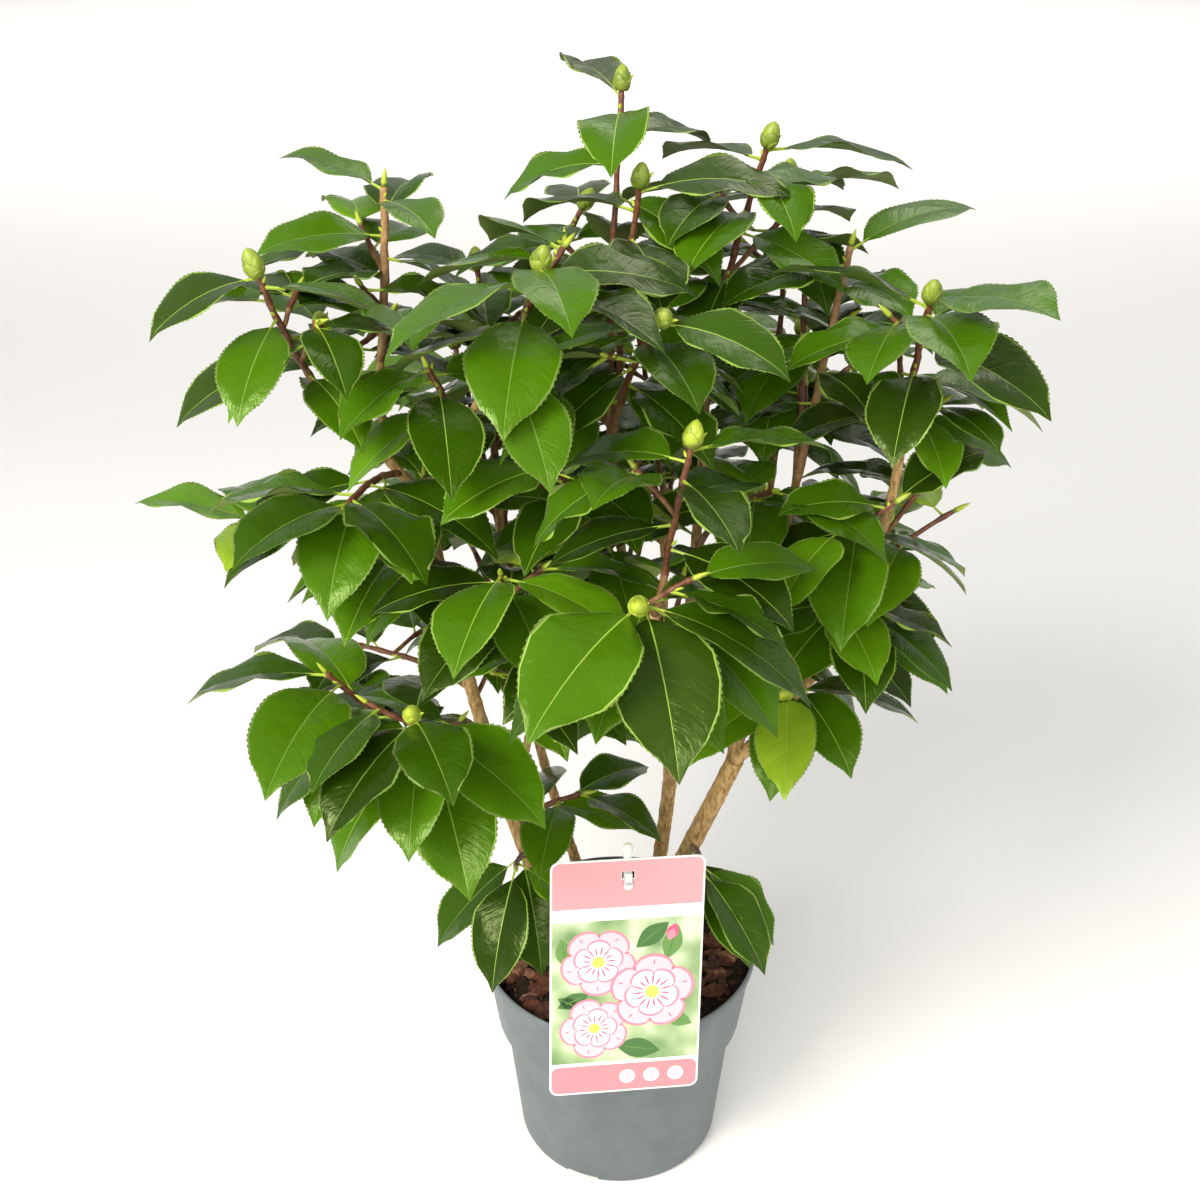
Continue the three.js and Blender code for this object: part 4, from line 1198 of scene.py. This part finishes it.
for place, (limbName, limb) in enumerate(limbs.items()):
    makeBark(limbName, limb, place + 11)
print("bark:", len(limbs), "limbs")


# ---- pot

potLook = {
    "facets": 128, "height": 162, "rim": 95, "band": 7, "collarFoot": (86.3, 104), "bodyTop": (80.3, 94),
    "base": 71.5, "bevel": 4, "wall": 1.8, "floor": 2.4, "edge": 0.55, "holes": 6, "holeRadius": 5,
    "holeRing": 48, "notches": 4, "firstNotch": 248, "notchSize": (12, 24, 8.6),
}


def turned(name, profile, facets, materials):
    # a ring at the first place of the profile, extruded from place to place; both ends are filled
    deselect()
    radius, z = profile[0]
    bpy.ops.mesh.primitive_circle_add(
        vertices=facets, radius=radius * mm, fill_type="NGON", location=(0, 0, z * mm))
    piece = bpy.context.object
    piece.name = name
    piece.data.name = name
    bpy.ops.object.transform_apply(location=True)
    for material in materials:
        piece.data.materials.append(material)
    bpy.ops.object.mode_set(mode="EDIT")
    bpy.ops.mesh.select_mode(type="EDGE")
    bpy.ops.mesh.select_all(action="SELECT")
    for (oldRadius, oldZ), (newRadius, newZ) in zip(profile, profile[1:]):
        bpy.ops.mesh.extrude_edges_move(TRANSFORM_OT_translate={"value": (0, 0, (newZ - oldZ) * mm)})
        share = newRadius / oldRadius
        bpy.ops.transform.resize(value=(share, share, 1), center_override=(0, 0, newZ * mm))
    bpy.ops.mesh.edge_face_add()
    bpy.ops.mesh.select_all(action="SELECT")
    bpy.ops.mesh.normals_make_consistent(inside=False)
    bpy.ops.object.mode_set(mode="OBJECT")
    return piece


def potProfile():
    p = potLook
    (collarRadius, collarZ), (bodyRadius, bodyZ) = p["collarFoot"], p["bodyTop"]
    bandZ = p["height"] - p["band"]
    bandFoot = mix(collarRadius, p["rim"] - 1, (bandZ - collarZ) / (p["height"] - collarZ))
    outside = [
        (p["base"] - p["bevel"], 0), (p["base"] - 1.2, 1.2), (p["base"], p["bevel"]),
        (bodyRadius, bodyZ), (bodyRadius + 1.2, bodyZ + 2.6), (collarRadius - 0.8, collarZ - 1.6),
        (collarRadius, collarZ), (bandFoot, bandZ), (p["rim"], bandZ + 1.5),
        (p["rim"], p["height"] - 0.6), (p["rim"] - 0.6, p["height"]),
    ]
    wall = p["wall"]
    inside = [
        (p["rim"] - wall + 0.3, p["height"]), (p["rim"] - wall, p["height"] - 0.5),
        (collarRadius - wall, collarZ), (bodyRadius - wall, bodyZ),
        (p["base"] - wall, p["floor"] + p["bevel"]), (p["base"] - wall - p["bevel"], p["floor"]),
    ]
    return outside, inside


# Blow-moulded polypropylene: blue-grey outside, satin, with faint flow marks and scuffs.
potOutside = newMaterial("polypropyleneGrey", "#87929a", 0.5, IOR=1.49)
tree, shader = shaderOf(potOutside)
cloudy = ramp(tree, noise(tree, 28, 5, 0.55), ((0.3, "#566062"), (0.5, "#5e676a"), (0.72, "#666f72")))
linkTo(tree, cloudy, shader, "Base Color")
linkTo(tree, spreadTo(tree, noise(tree, 9, 6, 0.62), 0.38, 0.56), shader, "Roughness")
bump(tree, shader, noise(tree, 0.9, detail=3), 0.05, 0.5)
# Its inner layer is black.
potInside = newMaterial("polypropyleneBlack", "#17191a", 0.55, IOR=1.49)
tree, shader = shaderOf(potInside)
linkTo(tree, spreadTo(tree, noise(tree, 6, 5), 0.42, 0.7), shader, "Roughness")
bump(tree, shader, noise(tree, 0.9, detail=3), 0.06, 0.6)


def makePot():
    outside, inside = potProfile()
    pot = turned("nursery_pot", outside + inside, potLook["facets"], [potOutside, potInside])
    # the inner layer: the faces that look inwards, and the floor's upper side
    for polygon in pot.data.polygons:
        centre = polygon.center / mm
        radius = math.hypot(centre.x, centre.y)
        wallward = polygon.normal.x * centre.x + polygon.normal.y * centre.y
        if (wallward < -1 or (radius < 1 and centre.z > 1)) and centre.z < potLook["height"] - 0.7:
            polygon.material_index = 1
        elif radius < potLook["base"] and 1.5 < centre.z < 8 and wallward < 0:
            polygon.material_index = 1
    holes = []
    ring = potLook["holeRing"] * mm
    for i in range(potLook["holes"]):
        angle = 2 * math.pi * (i + 0.5) / potLook["holes"]
        deselect()
        bpy.ops.mesh.primitive_cylinder_add(
            vertices=24, radius=potLook["holeRadius"] * mm, depth=12 * mm,
            location=(ring * math.cos(angle), ring * math.sin(angle), 1.2 * mm))
        holes.append(bpy.context.object)
    base = potLook["base"] * mm
    for i in range(potLook["notches"]):
        angle = math.radians(potLook["firstNotch"] + 360 / potLook["notches"] * i)
        spot = (base * math.cos(angle), base * math.sin(angle), 0)
        deselect()
        bpy.ops.mesh.primitive_cube_add(size=1, location=spot)
        notch = bpy.context.object
        notch.scale = [side * mm for side in potLook["notchSize"]]
        notch.rotation_euler = (0, 0, angle)
        holes.append(notch)
    cutter = settle(joined("pot_cutter", [settle(h) for h in holes]))
    applyModifier(pot, "BOOLEAN", operation="DIFFERENCE", object=cutter, solver="EXACT")
    bpy.data.objects.remove(cutter)
    roundEdges(pot, potLook["edge"], 38)
    pick(pot)
    bpy.ops.object.shade_smooth_by_angle(angle=math.radians(35))
    return rideAs(settle(pot), "pot", "pot")


makePot()
print("pot made")


# ---- potting mix and bark chips

mixLook = {"facets": 96, "chips": 190, "crumbs": 620, "chipSize": (9, 25), "lumps": 2.6}

# Damp peat: almost black, matt and crumbly, with pale fibres.
peat = newMaterial("peat", "#2b1d14", 0.95, IOR=1.4)
tree, shader = shaderOf(peat)
crumbs = ramp(tree, noise(tree, 3, 8, 0.7), ((0.3, "#120c08"), (0.52, "#2c1d13"), (0.72, "#4c3421")))
linkTo(tree, crumbs, shader, "Base Color")
bump(tree, shader, noise(tree, 1.8, 9, 0.75), 1.4, 0.9)


def chipLook(name, dark, mid, pale):
    # pine bark chips: layered, dry on the broken faces
    made = newMaterial(name, mid, 0.88, IOR=1.45)
    tree, shader = shaderOf(made)
    layers = stretchedPoint(tree, (1, 0.6, 1.6))
    browns = ramp(tree, noise(tree, 3, 7, 0.65, layers), ((0.32, dark), (0.52, mid), (0.72, pale)))
    linkTo(tree, browns, shader, "Base Color")
    bump(tree, shader, noise(tree, 1.5, 7, 0.7, layers), 0.7, 0.8)
    return made


chipMaterials = [
    chipLook("chipRed", "#2c150d", "#59301f", "#7d4a31"),
    chipLook("chipBrown", "#24150e", "#472a1c", "#6a4630"),
    chipLook("chipPale", "#4b3022", "#7b5640", "#a07b5c"),
    peat,
]


def makeMix():
    base, floor = potLook["base"], potLook["floor"]
    (collarRadius, collarZ), (bodyRadius, bodyZ) = potLook["collarFoot"], potLook["bodyTop"]
    slack = potLook["wall"] + clearance + 0.4
    top = mix(collarRadius, potLook["rim"] - 1, (groundZ - collarZ) / (potLook["height"] - collarZ)) - slack
    profile = [
        (base - potLook["bevel"] - slack, floor + 0.3), (base - slack, floor + potLook["bevel"] + 0.4),
        (bodyRadius - slack, bodyZ + 0.4), (collarRadius - slack, collarZ + 0.4), (top, groundZ - 2),
    ]
    rings = 22
    profile += [(top * (1 - i / rings), groundZ - 0.6 + 0.6 * i / rings) for i in range(1, rings)]
    piece = turned("potting_mix_peat", profile, mixLook["facets"], [peat])
    group = piece.vertex_groups.new(name="top")
    group.add([v.index for v in piece.data.vertices if v.co.z > (groundZ - 1.5) * mm], 1, "REPLACE")
    for size, strength in ((26, mixLook["lumps"]), (7, 2.2), (2.5, 1.2)):
        lumps = bpy.data.textures.new("lumps", "CLOUDS")
        lumps.noise_scale = size * mm
        applyModifier(piece, "DISPLACE", texture=lumps, texture_coords="LOCAL", direction="Z",
                      strength=strength * mm, mid_level=0.5, vertex_group="top")
    piece.vertex_groups.clear()
    bpy.ops.object.shade_smooth()
    rideAs(settle(piece), "potting_mix", "potting_mix")
    return top


def pourChip(pile, centre, size, thick, turn, tilt, corners, slotIndex, draw):
    # a flat, uneven scrap: a rough outline, broken at its edges
    lay = Matrix.Rotation(turn, 3, "Z") @ Matrix.Rotation(tilt, 3, "X")
    outline = []
    for i in range(corners):
        angle = 2 * math.pi * (i + between(draw, -0.25, 0.25)) / corners
        reach = size / 2 * between(draw, 0.7, 1.1)
        outline.append(Vector((math.cos(angle) * reach, math.sin(angle) * reach * 0.62, 0)))
    points = []
    for share, z in ((0.86, -0.5), (1, -0.1), (0.97, 0.35), (0.72, 0.5)):
        for place in outline:
            out = Vector((0, 0, z * thick * between(draw, 0.8, 1.2)))
            points.append(centre + lay @ (place * share + out))
    faces = [list(range(corners))[::-1], list(range(3 * corners, 4 * corners))]
    for k in range(3):
        for i in range(corners):
            j = (i + 1) % corners
            faces.append([k * corners + i, k * corners + j, (k + 1) * corners + j, (k + 1) * corners + i])
    pour(pile, points, faces, [slotIndex] * len(faces))


mixRadius = makeMix()
chipPile = newPile()
draw = drawsFor(77)
stemFeet = [pointOn(limb["line"], 0) for limb in limbs.values() if limb["isStem"]]
for i in range(mixLook["chips"] + mixLook["crumbs"]):
    isChip = i < mixLook["chips"]
    size = between(draw, *mixLook["chipSize"]) if isChip else between(draw, 2.2, 6)
    reach = (mixRadius - size * 0.62) * math.sqrt(draw())
    angle = between(draw, 0, 2 * math.pi)
    spot = Vector((reach * math.cos(angle), reach * math.sin(angle), 0))
    thick = between(draw, 2.2, 4.2) if isChip else size * 0.6
    spot.z = groundZ + thick * between(draw, 0.0, 0.55) + (0.6 if isChip else 0)
    if min((spot.xy - foot.xy).length for foot in stemFeet) < 8 + size / 2:
        continue
    kind = int(between(draw, 0, 3)) if isChip or draw() < 0.35 else 3
    pourChip(chipPile, spot, size, thick, between(draw, 0, 6.28), between(draw, -0.45, 0.45),
             7 if isChip else 5, kind, draw)
chips = pileToPiece("bark_chips", chipPile, chipMaterials)
chips.data.polygons.foreach_set("use_smooth", [False] * len(chips.data.polygons))
rideAs(chips, "potting_mix", "potting_mix")
print("potting mix:", len(chips.data.polygons), "chip faces")


# ---- label and stake

labelLook = {
    "width": 98, "height": 172, "thickness": 0.8, "corner": 6, "lean": 9, "yaw": 8, "roll": -2,
    "bottomZ": 124, "beside": -12.4, "slotWidth": 8, "slotHeight": 5, "slotBelowTop": 9,
}
stakeLook = {
    "width": 5, "thickness": 2.4, "lean": -1, "buried": 50, "aboveSlot": 15, "knobRadius": 3.4,
    "knobHeight": 8.4, "knobDepth": 5, "tabDrop": 11, "tabThickness": 1.4, "slotSlack": 1.4,
}


def labelPlace():
    # x across the label, y up its face, z out of its front; its back leans on the pot's rim
    lean = math.radians(labelLook["lean"])
    rimY = potLook["rim"] + clearance + 0.1 + labelLook["thickness"] / math.cos(lean)
    footY = rimY + (potLook["height"] - labelLook["bottomZ"]) * math.tan(lean)
    shift = Vector((labelLook["beside"], -footY, labelLook["bottomZ"])) * mm
    yaw = Matrix.Rotation(math.radians(labelLook["yaw"]), 4, "Z")
    roll = Matrix.Rotation(math.radians(labelLook["roll"]), 4, "Z")
    return yaw @ Matrix.Translation(shift) @ Matrix.Rotation(math.pi / 2 - lean, 4, "X") @ roll


def printed(name, colour):
    # ink on a glossy polypropylene card, with a fine screen grain
    made = newMaterial(name, colour, 0.3, IOR=1.49)
    tree, shader = shaderOf(made)
    bump(tree, shader, noise(tree, 1.2, detail=2), 0.03, 0.4)
    return made


inks = {
    "white": "#f3f0ee", "headPink": "#d6999f", "bandPink": "#d2858d", "ground": "#9cb281",
    "leafInk": "#5f8a42", "leafInkDark": "#3f6b31", "petalWhite": "#fbe9ea", "petalPale": "#f6bcc6",
    "petalPink": "#ea8499", "petalDeep": "#d2557a", "stamenInk": "#f0ca5a",
}
inkMaterials = {name: printed("ink_" + name, colour) for name, colour in inks.items()}
# the picture's ground is a garden out of focus: soft patches of light and dark green
tree, shader = shaderOf(inkMaterials["ground"])
garden = ramp(tree, noise(tree, 26, 2, 0.4), ((0.32, "#6c8f58"), (0.5, "#a3b98a"), (0.66, "#d5dcc2")))
linkTo(tree, garden, shader, "Base Color")


def flatShape(points, ink, level):
    # a flat printed shape on the label's front, a hair above what lies under it
    mesh = bpy.data.meshes.new("print")
    z = (labelLook["thickness"] + level * 0.03) * mm
    mesh.from_pydata([(x * mm, y * mm, z) for x, y in points], [], [list(range(len(points)))])
    mesh.materials.append(inkMaterials[ink])
    piece = bpy.data.objects.new("print", mesh)
    bpy.context.scene.collection.objects.link(piece)
    return piece


def rectangle(left, bottom, right, top):
    return [(left, bottom), (right, bottom), (right, top), (left, top)]


def roundedOutline(left, bottom, right, top, radius, steps=6):
    corners = ((right - radius, bottom + radius, -90), (right - radius, top - radius, 0),
               (left + radius, top - radius, 90), (left + radius, bottom + radius, 180))
    return [
        (x + radius * math.cos(math.radians(start + 90 * i / steps)),
         y + radius * math.sin(math.radians(start + 90 * i / steps)))
        for x, y, start in corners for i in range(steps + 1)
    ]


def petalRing(x, y, radius, turn, depth, lobes=5):
    # the outline of a whole ring of rounded petals
    count = lobes * 14
    outline = []
    for i in range(count):
        angle = 2 * math.pi * i / count
        reach = radius * (1 - depth + depth * abs(math.sin(lobes * angle / 2)) ** 0.5)
        outline.append((x + reach * math.cos(angle + turn), y + reach * math.sin(angle + turn)))
    return outline


def leafOutline(x, y, turn, length, width):
    c, s = math.cos(turn), math.sin(turn)
    upper = [(length * i / 8, width / 2 * math.sin(math.pi * i / 8)) for i in range(9)]
    shape = upper[:-1] + [(length, 0)] + [(a, -b) for a, b in upper[-2:0:-1]]
    return [(x + a * c - b * s, y + a * s + b * c) for a, b in shape][::-1]


def blossom(x, y, size, turn, level):
    # an open flower: two rings of petals, each with a pale edge, deeper streaks, and a yellow middle
    shapes = []
    half = math.pi / 5
    rows = (
        (1, 0, "petalPink"), (0.93, 0, "petalPale"),
        (0.66, half, "petalPink"), (0.6, half, "petalWhite"),
    )
    for step, (share, shift, ink) in enumerate(rows):
        shapes.append(flatShape(petalRing(x, y, size * share, turn + shift, 0.26), ink, level + step))
    for i in range(15):
        angle = turn + 2 * math.pi * (i + 0.5) / 15
        inner, reach = size * 0.16, size * (0.36 if i % 3 else 0.28)
        place = (x + inner * math.cos(angle), y + inner * math.sin(angle))
        streak = leafOutline(*place, angle, reach, size * 0.045)
        shapes.append(flatShape(streak, "petalDeep", level + 4))
    for i in range(10):
        angle = turn + 2 * math.pi * i / 10
        place = (x + size * 0.7 * math.cos(angle), y + size * 0.7 * math.sin(angle))
        streak = leafOutline(*place, angle, size * 0.16, size * 0.03)
        shapes.append(flatShape(streak, "petalDeep", level + 3))
    shapes.append(flatShape(petalRing(x, y, size * 0.17, turn, 0.2, 8), "stamenInk", level + 5))
    return shapes


def makeLabel():
    half, height = labelLook["width"] / 2, labelLook["height"]
    deselect()
    bpy.ops.mesh.primitive_plane_add(size=1, location=(0, height / 2 * mm, 0))
    card = bpy.context.object
    card.name = "label_card"
    card.scale = (labelLook["width"] * mm, height * mm, 1)
    settle(card)
    bpy.ops.object.mode_set(mode="EDIT")
    bpy.ops.mesh.select_mode(type="VERT")
    bpy.ops.mesh.select_all(action="SELECT")
    bpy.ops.mesh.bevel(offset=labelLook["corner"] * mm, segments=7, affect="VERTICES")
    bpy.ops.mesh.select_all(action="SELECT")
    bpy.ops.mesh.extrude_region_move(TRANSFORM_OT_translate={"value": (0, 0, labelLook["thickness"] * mm)})
    bpy.ops.mesh.select_all(action="SELECT")
    bpy.ops.mesh.normals_make_consistent(inside=False)
    bpy.ops.object.mode_set(mode="OBJECT")
    slotTop = height - labelLook["slotBelowTop"]
    slotMiddle = slotTop - labelLook["slotHeight"] / 2
    deselect()
    bpy.ops.mesh.primitive_cube_add(size=1, location=(0, slotMiddle * mm, 0))
    cutter = bpy.context.object
    cutter.scale = (labelLook["slotWidth"] * mm, labelLook["slotHeight"] * mm, 0.01)
    settle(cutter)
    applyModifier(card, "BOOLEAN", operation="DIFFERENCE", object=cutter, solver="EXACT")
    roundEdges(card, 0.12, 40)
    bpy.data.objects.remove(cutter)
    card.data.materials.append(inkMaterials["white"])
    edge = 1.2
    shapes = []
    # the head has the slot in it, so it is laid as strips round that
    headFoot = height - 34
    slotHalf = labelLook["slotWidth"] / 2 + 0.3
    slotFoot = slotMiddle - labelLook["slotHeight"] / 2 - 0.3
    left, right = -half + edge, half - edge
    top = height - edge
    r = labelLook["corner"] - edge
    shapes.append(flatShape(rectangle(left, headFoot, right, slotFoot), "headPink", 1))
    arc = []
    for t in range(7):
        angle = t * math.pi / 12
        arc.append((right - r + r * math.sin(angle), top - r + r * math.cos(angle)))
    for sign in (1, -1):
        strip = [(slotHalf, slotFoot), (slotHalf, top)] + arc + [(right, slotFoot)]
        strip = [(sign * x, y) for x, y in strip]
        shapes.append(flatShape(strip[::-1] if sign > 0 else strip, "headPink", 1))
    shapes.append(flatShape(rectangle(-slotHalf, slotTop + 0.3, slotHalf, top), "headPink", 1))
    # a white rule, then the picture's ground, then a band at the foot
    bandTop = 24
    shapes.append(flatShape(rectangle(left, bandTop, right, headFoot - 9), "ground", 1))
    shapes.append(flatShape(roundedOutline(left, edge, right, bandTop - 2.5, r), "bandPink", 1))
    # three rings on the band in place of its signs
    for x in (2, 18, 34):
        shapes.append(flatShape(petalRing(x, 11.5, 5.2, 0, 0), "white", 2))
        shapes.append(flatShape(petalRing(x, 11.5, 3.4, 0, 0), "petalPale", 3))
    # leaves on the ground, then three open flowers and a bud
    leaves = (
        (6, 108, 40, 27), (26, 98, 75, 26), (-24, 76, 205, 22), (24, 58, -25, 22), (-6, 36, -12, 30),
        (-38, 96, 100, 22), (-30, 66, 150, 16),
    )
    for place, (x, y, turn, length) in enumerate(leaves):
        ink = "leafInk" if place % 2 else "leafInkDark"
        rib = "leafInkDark" if place % 2 else "leafInk"
        shapes.append(flatShape(leafOutline(x, y, math.radians(turn), length, length * 0.5), ink, 2))
        shapes.append(flatShape(leafOutline(x, y, math.radians(turn), length * 0.9, 0.7), rib, 3))
    shapes += blossom(-18, 99, 25, 0.3, 4)
    shapes += blossom(17, 75, 28, 0.9, 11)
    shapes += blossom(-20, 50, 23, 0.1, 4)
    for size, ink, level in ((13, "petalDeep", 4), (9, "petalPink", 5)):
        shapes.append(flatShape(leafOutline(27, 112, math.radians(70), size, size * 0.62), ink, level))
    return joined("label_card", [card] + shapes)


def makeStake():
    # a flat stake behind the label, its knob over the label's top edge, its tab hooked through the slot
    s = stakeLook
    place = labelPlace()
    slotY = labelLook["height"] - labelLook["slotBelowTop"] - labelLook["slotHeight"] / 2
    leanApart = math.radians(labelLook["lean"] - s["lean"])
    behind = clearance + s["thickness"] / 2 + (labelLook["height"] - slotY) * math.tan(leanApart)
    slotPoint = place @ (Vector((0, slotY, -behind)) * mm)
    upright = (
        Matrix.Translation(slotPoint) @ Matrix.Rotation(math.radians(labelLook["yaw"]), 4, "Z")
        @ Matrix.Rotation(math.pi / 2 - math.radians(s["lean"]), 4, "X")
    )
    footY = groundZ - slotPoint.z / mm - s["buried"]
    pieces = []

    def block(size, centre, matrix, isRound=False):
        deselect()
        if isRound:
            bpy.ops.mesh.primitive_cylinder_add(vertices=28, radius=0.5, depth=1)
        else:
            bpy.ops.mesh.primitive_cube_add(size=1)
        piece = bpy.context.object
        shift = Matrix.Translation(Vector(centre) * mm)
        piece.matrix_world = matrix @ shift @ Matrix.Diagonal((*[v * mm for v in size], 1))
        settle(piece)
        if isRound:
            roundEdges(piece, 0.5, 40)
        else:
            applyModifier(piece, "BEVEL", width=0.5 * mm, segments=2, limit_method="NONE")
        pieces.append(piece)

    length = s["aboveSlot"] - footY
    middleY = (s["aboveSlot"] + footY) / 2
    block((s["width"], length, s["thickness"]), (0, middleY, 0), upright)
    # its stiffening rib
    block((1.2, length - 8, 0.8), (0, middleY, -s["thickness"] / 2), upright)
    tongue = labelLook["slotHeight"] - s["slotSlack"]
    tabZ = labelLook["thickness"] + 2 * clearance + s["tabThickness"] / 2
    block((s["width"], tongue, behind + tabZ), (0, slotY, (tabZ - behind) / 2), place)
    tabFoot = slotY + tongue / 2 - s["tabDrop"] + s["width"] / 2
    tabTop = slotY + tongue / 2
    block((s["width"], tabTop - tabFoot, s["tabThickness"]), (0, (tabTop + tabFoot) / 2, tabZ), place)
    # the tab's end is round
    block((s["width"] * 1.2, s["width"] * 1.2, s["tabThickness"]), (0, tabFoot, tabZ), place, isRound=True)
    deselect()
    bpy.ops.mesh.primitive_uv_sphere_add(segments=24, ring_count=14, radius=0.5)
    knob = bpy.context.object
    size = Matrix.Diagonal((2 * s["knobRadius"] * mm, s["knobHeight"] * mm, s["knobDepth"] * mm, 1))
    over = Vector((0, s["aboveSlot"] + s["knobRadius"], 0)) * mm
    knob.matrix_world = upright @ Matrix.Translation(over) @ size
    pieces.append(settle(knob))
    return joined("stake", pieces)


label = makeLabel()
label.matrix_world = labelPlace()
rideAs(settle(label), "label", "label")
# Natural polypropylene: milky, and light goes a few millimetres into it.
milky = newMaterial(
    "polypropyleneNatural", "#dfe3dc", 0.36, IOR=1.49, Subsurface_Weight=0.35, Subsurface_Scale=0.004)
tree, shader = shaderOf(milky)
linkTo(tree, spreadTo(tree, noise(tree, 5, 4), 0.3, 0.46), shader, "Roughness")
bump(tree, shader, noise(tree, 1, detail=2), 0.04, 0.5)
stake = makeStake()
stake.data.materials.clear()
stake.data.materials.append(milky)
pick(stake)
bpy.ops.object.shade_smooth_by_angle(angle=math.radians(40))
rideAs(stake, "stake", "label_stake")
print("label and stake made")


# ---- floor, light and camera

studio = {"sky": 0.5, "key": 67, "fill": 32, "side": 9, "rim": 9, "backdrop": 115, "warm": "#fff9f0"}
bpy.context.scene.view_settings.view_transform = "Standard"   # colours come out as they are given

deselect()
bpy.ops.mesh.primitive_plane_add(size=14, location=(0, 3, 0))
floor = bpy.context.object
floor.name = "studio_floor"
floorMaterial = newMaterial("paperFloor", "#fafaf9", 0.9)
floor.data.materials.append(floorMaterial)

world = bpy.context.scene.world or bpy.data.worlds.new("studio")
bpy.context.scene.world = world
world.use_nodes = True
sky = world.node_tree.nodes["Background"]
sky.inputs["Color"].default_value = (1, 1, 1, 1)
sky.inputs["Strength"].default_value = studio["sky"]


def softbox(name, place, target, width, height, watts):
    lamp = bpy.data.lights.new(name, "AREA")
    lamp.shape = "RECTANGLE"
    lamp.size = width
    lamp.size_y = height
    lamp.energy = watts
    lamp.color = linear(studio["warm"])[:3]
    made = bpy.data.objects.new(name, lamp)
    made.location = place
    made.rotation_euler = (Vector(target) - Vector(place)).to_track_quat("-Z", "Y").to_euler()
    bpy.context.scene.collection.objects.link(made)


softbox("key", (-1.3, -1.45, 2.0), (0, 0, 0.45), 1.0, 1.0, studio["key"])
softbox("fill", (-0.5, -2.1, 1.45), (0, 0, 0.4), 1.5, 1.0, studio["fill"])
softbox("side", (1.9, -1.4, 1.3), (0, 0, 0.4), 1.4, 1.4, studio["side"])
softbox("rim", (0.7, 1.7, 2.2), (0, 0, 0.5), 1.2, 1.0, studio["rim"])
# this one lights only the floor far behind
softbox("backdrop", (0, 3.4, 2.4), (0, 6.2, 0), 5, 1.2, studio["backdrop"])

bpy.ops.object.camera_add(location=view["place"], rotation=(math.radians(90 - view["downDeg"]), 0, 0))
camera = bpy.context.object
camera.name = "camera"
camera.data.lens = view["lens"]
camera.data.sensor_width = view["sensor"]
bpy.context.scene.camera = camera
deselect()
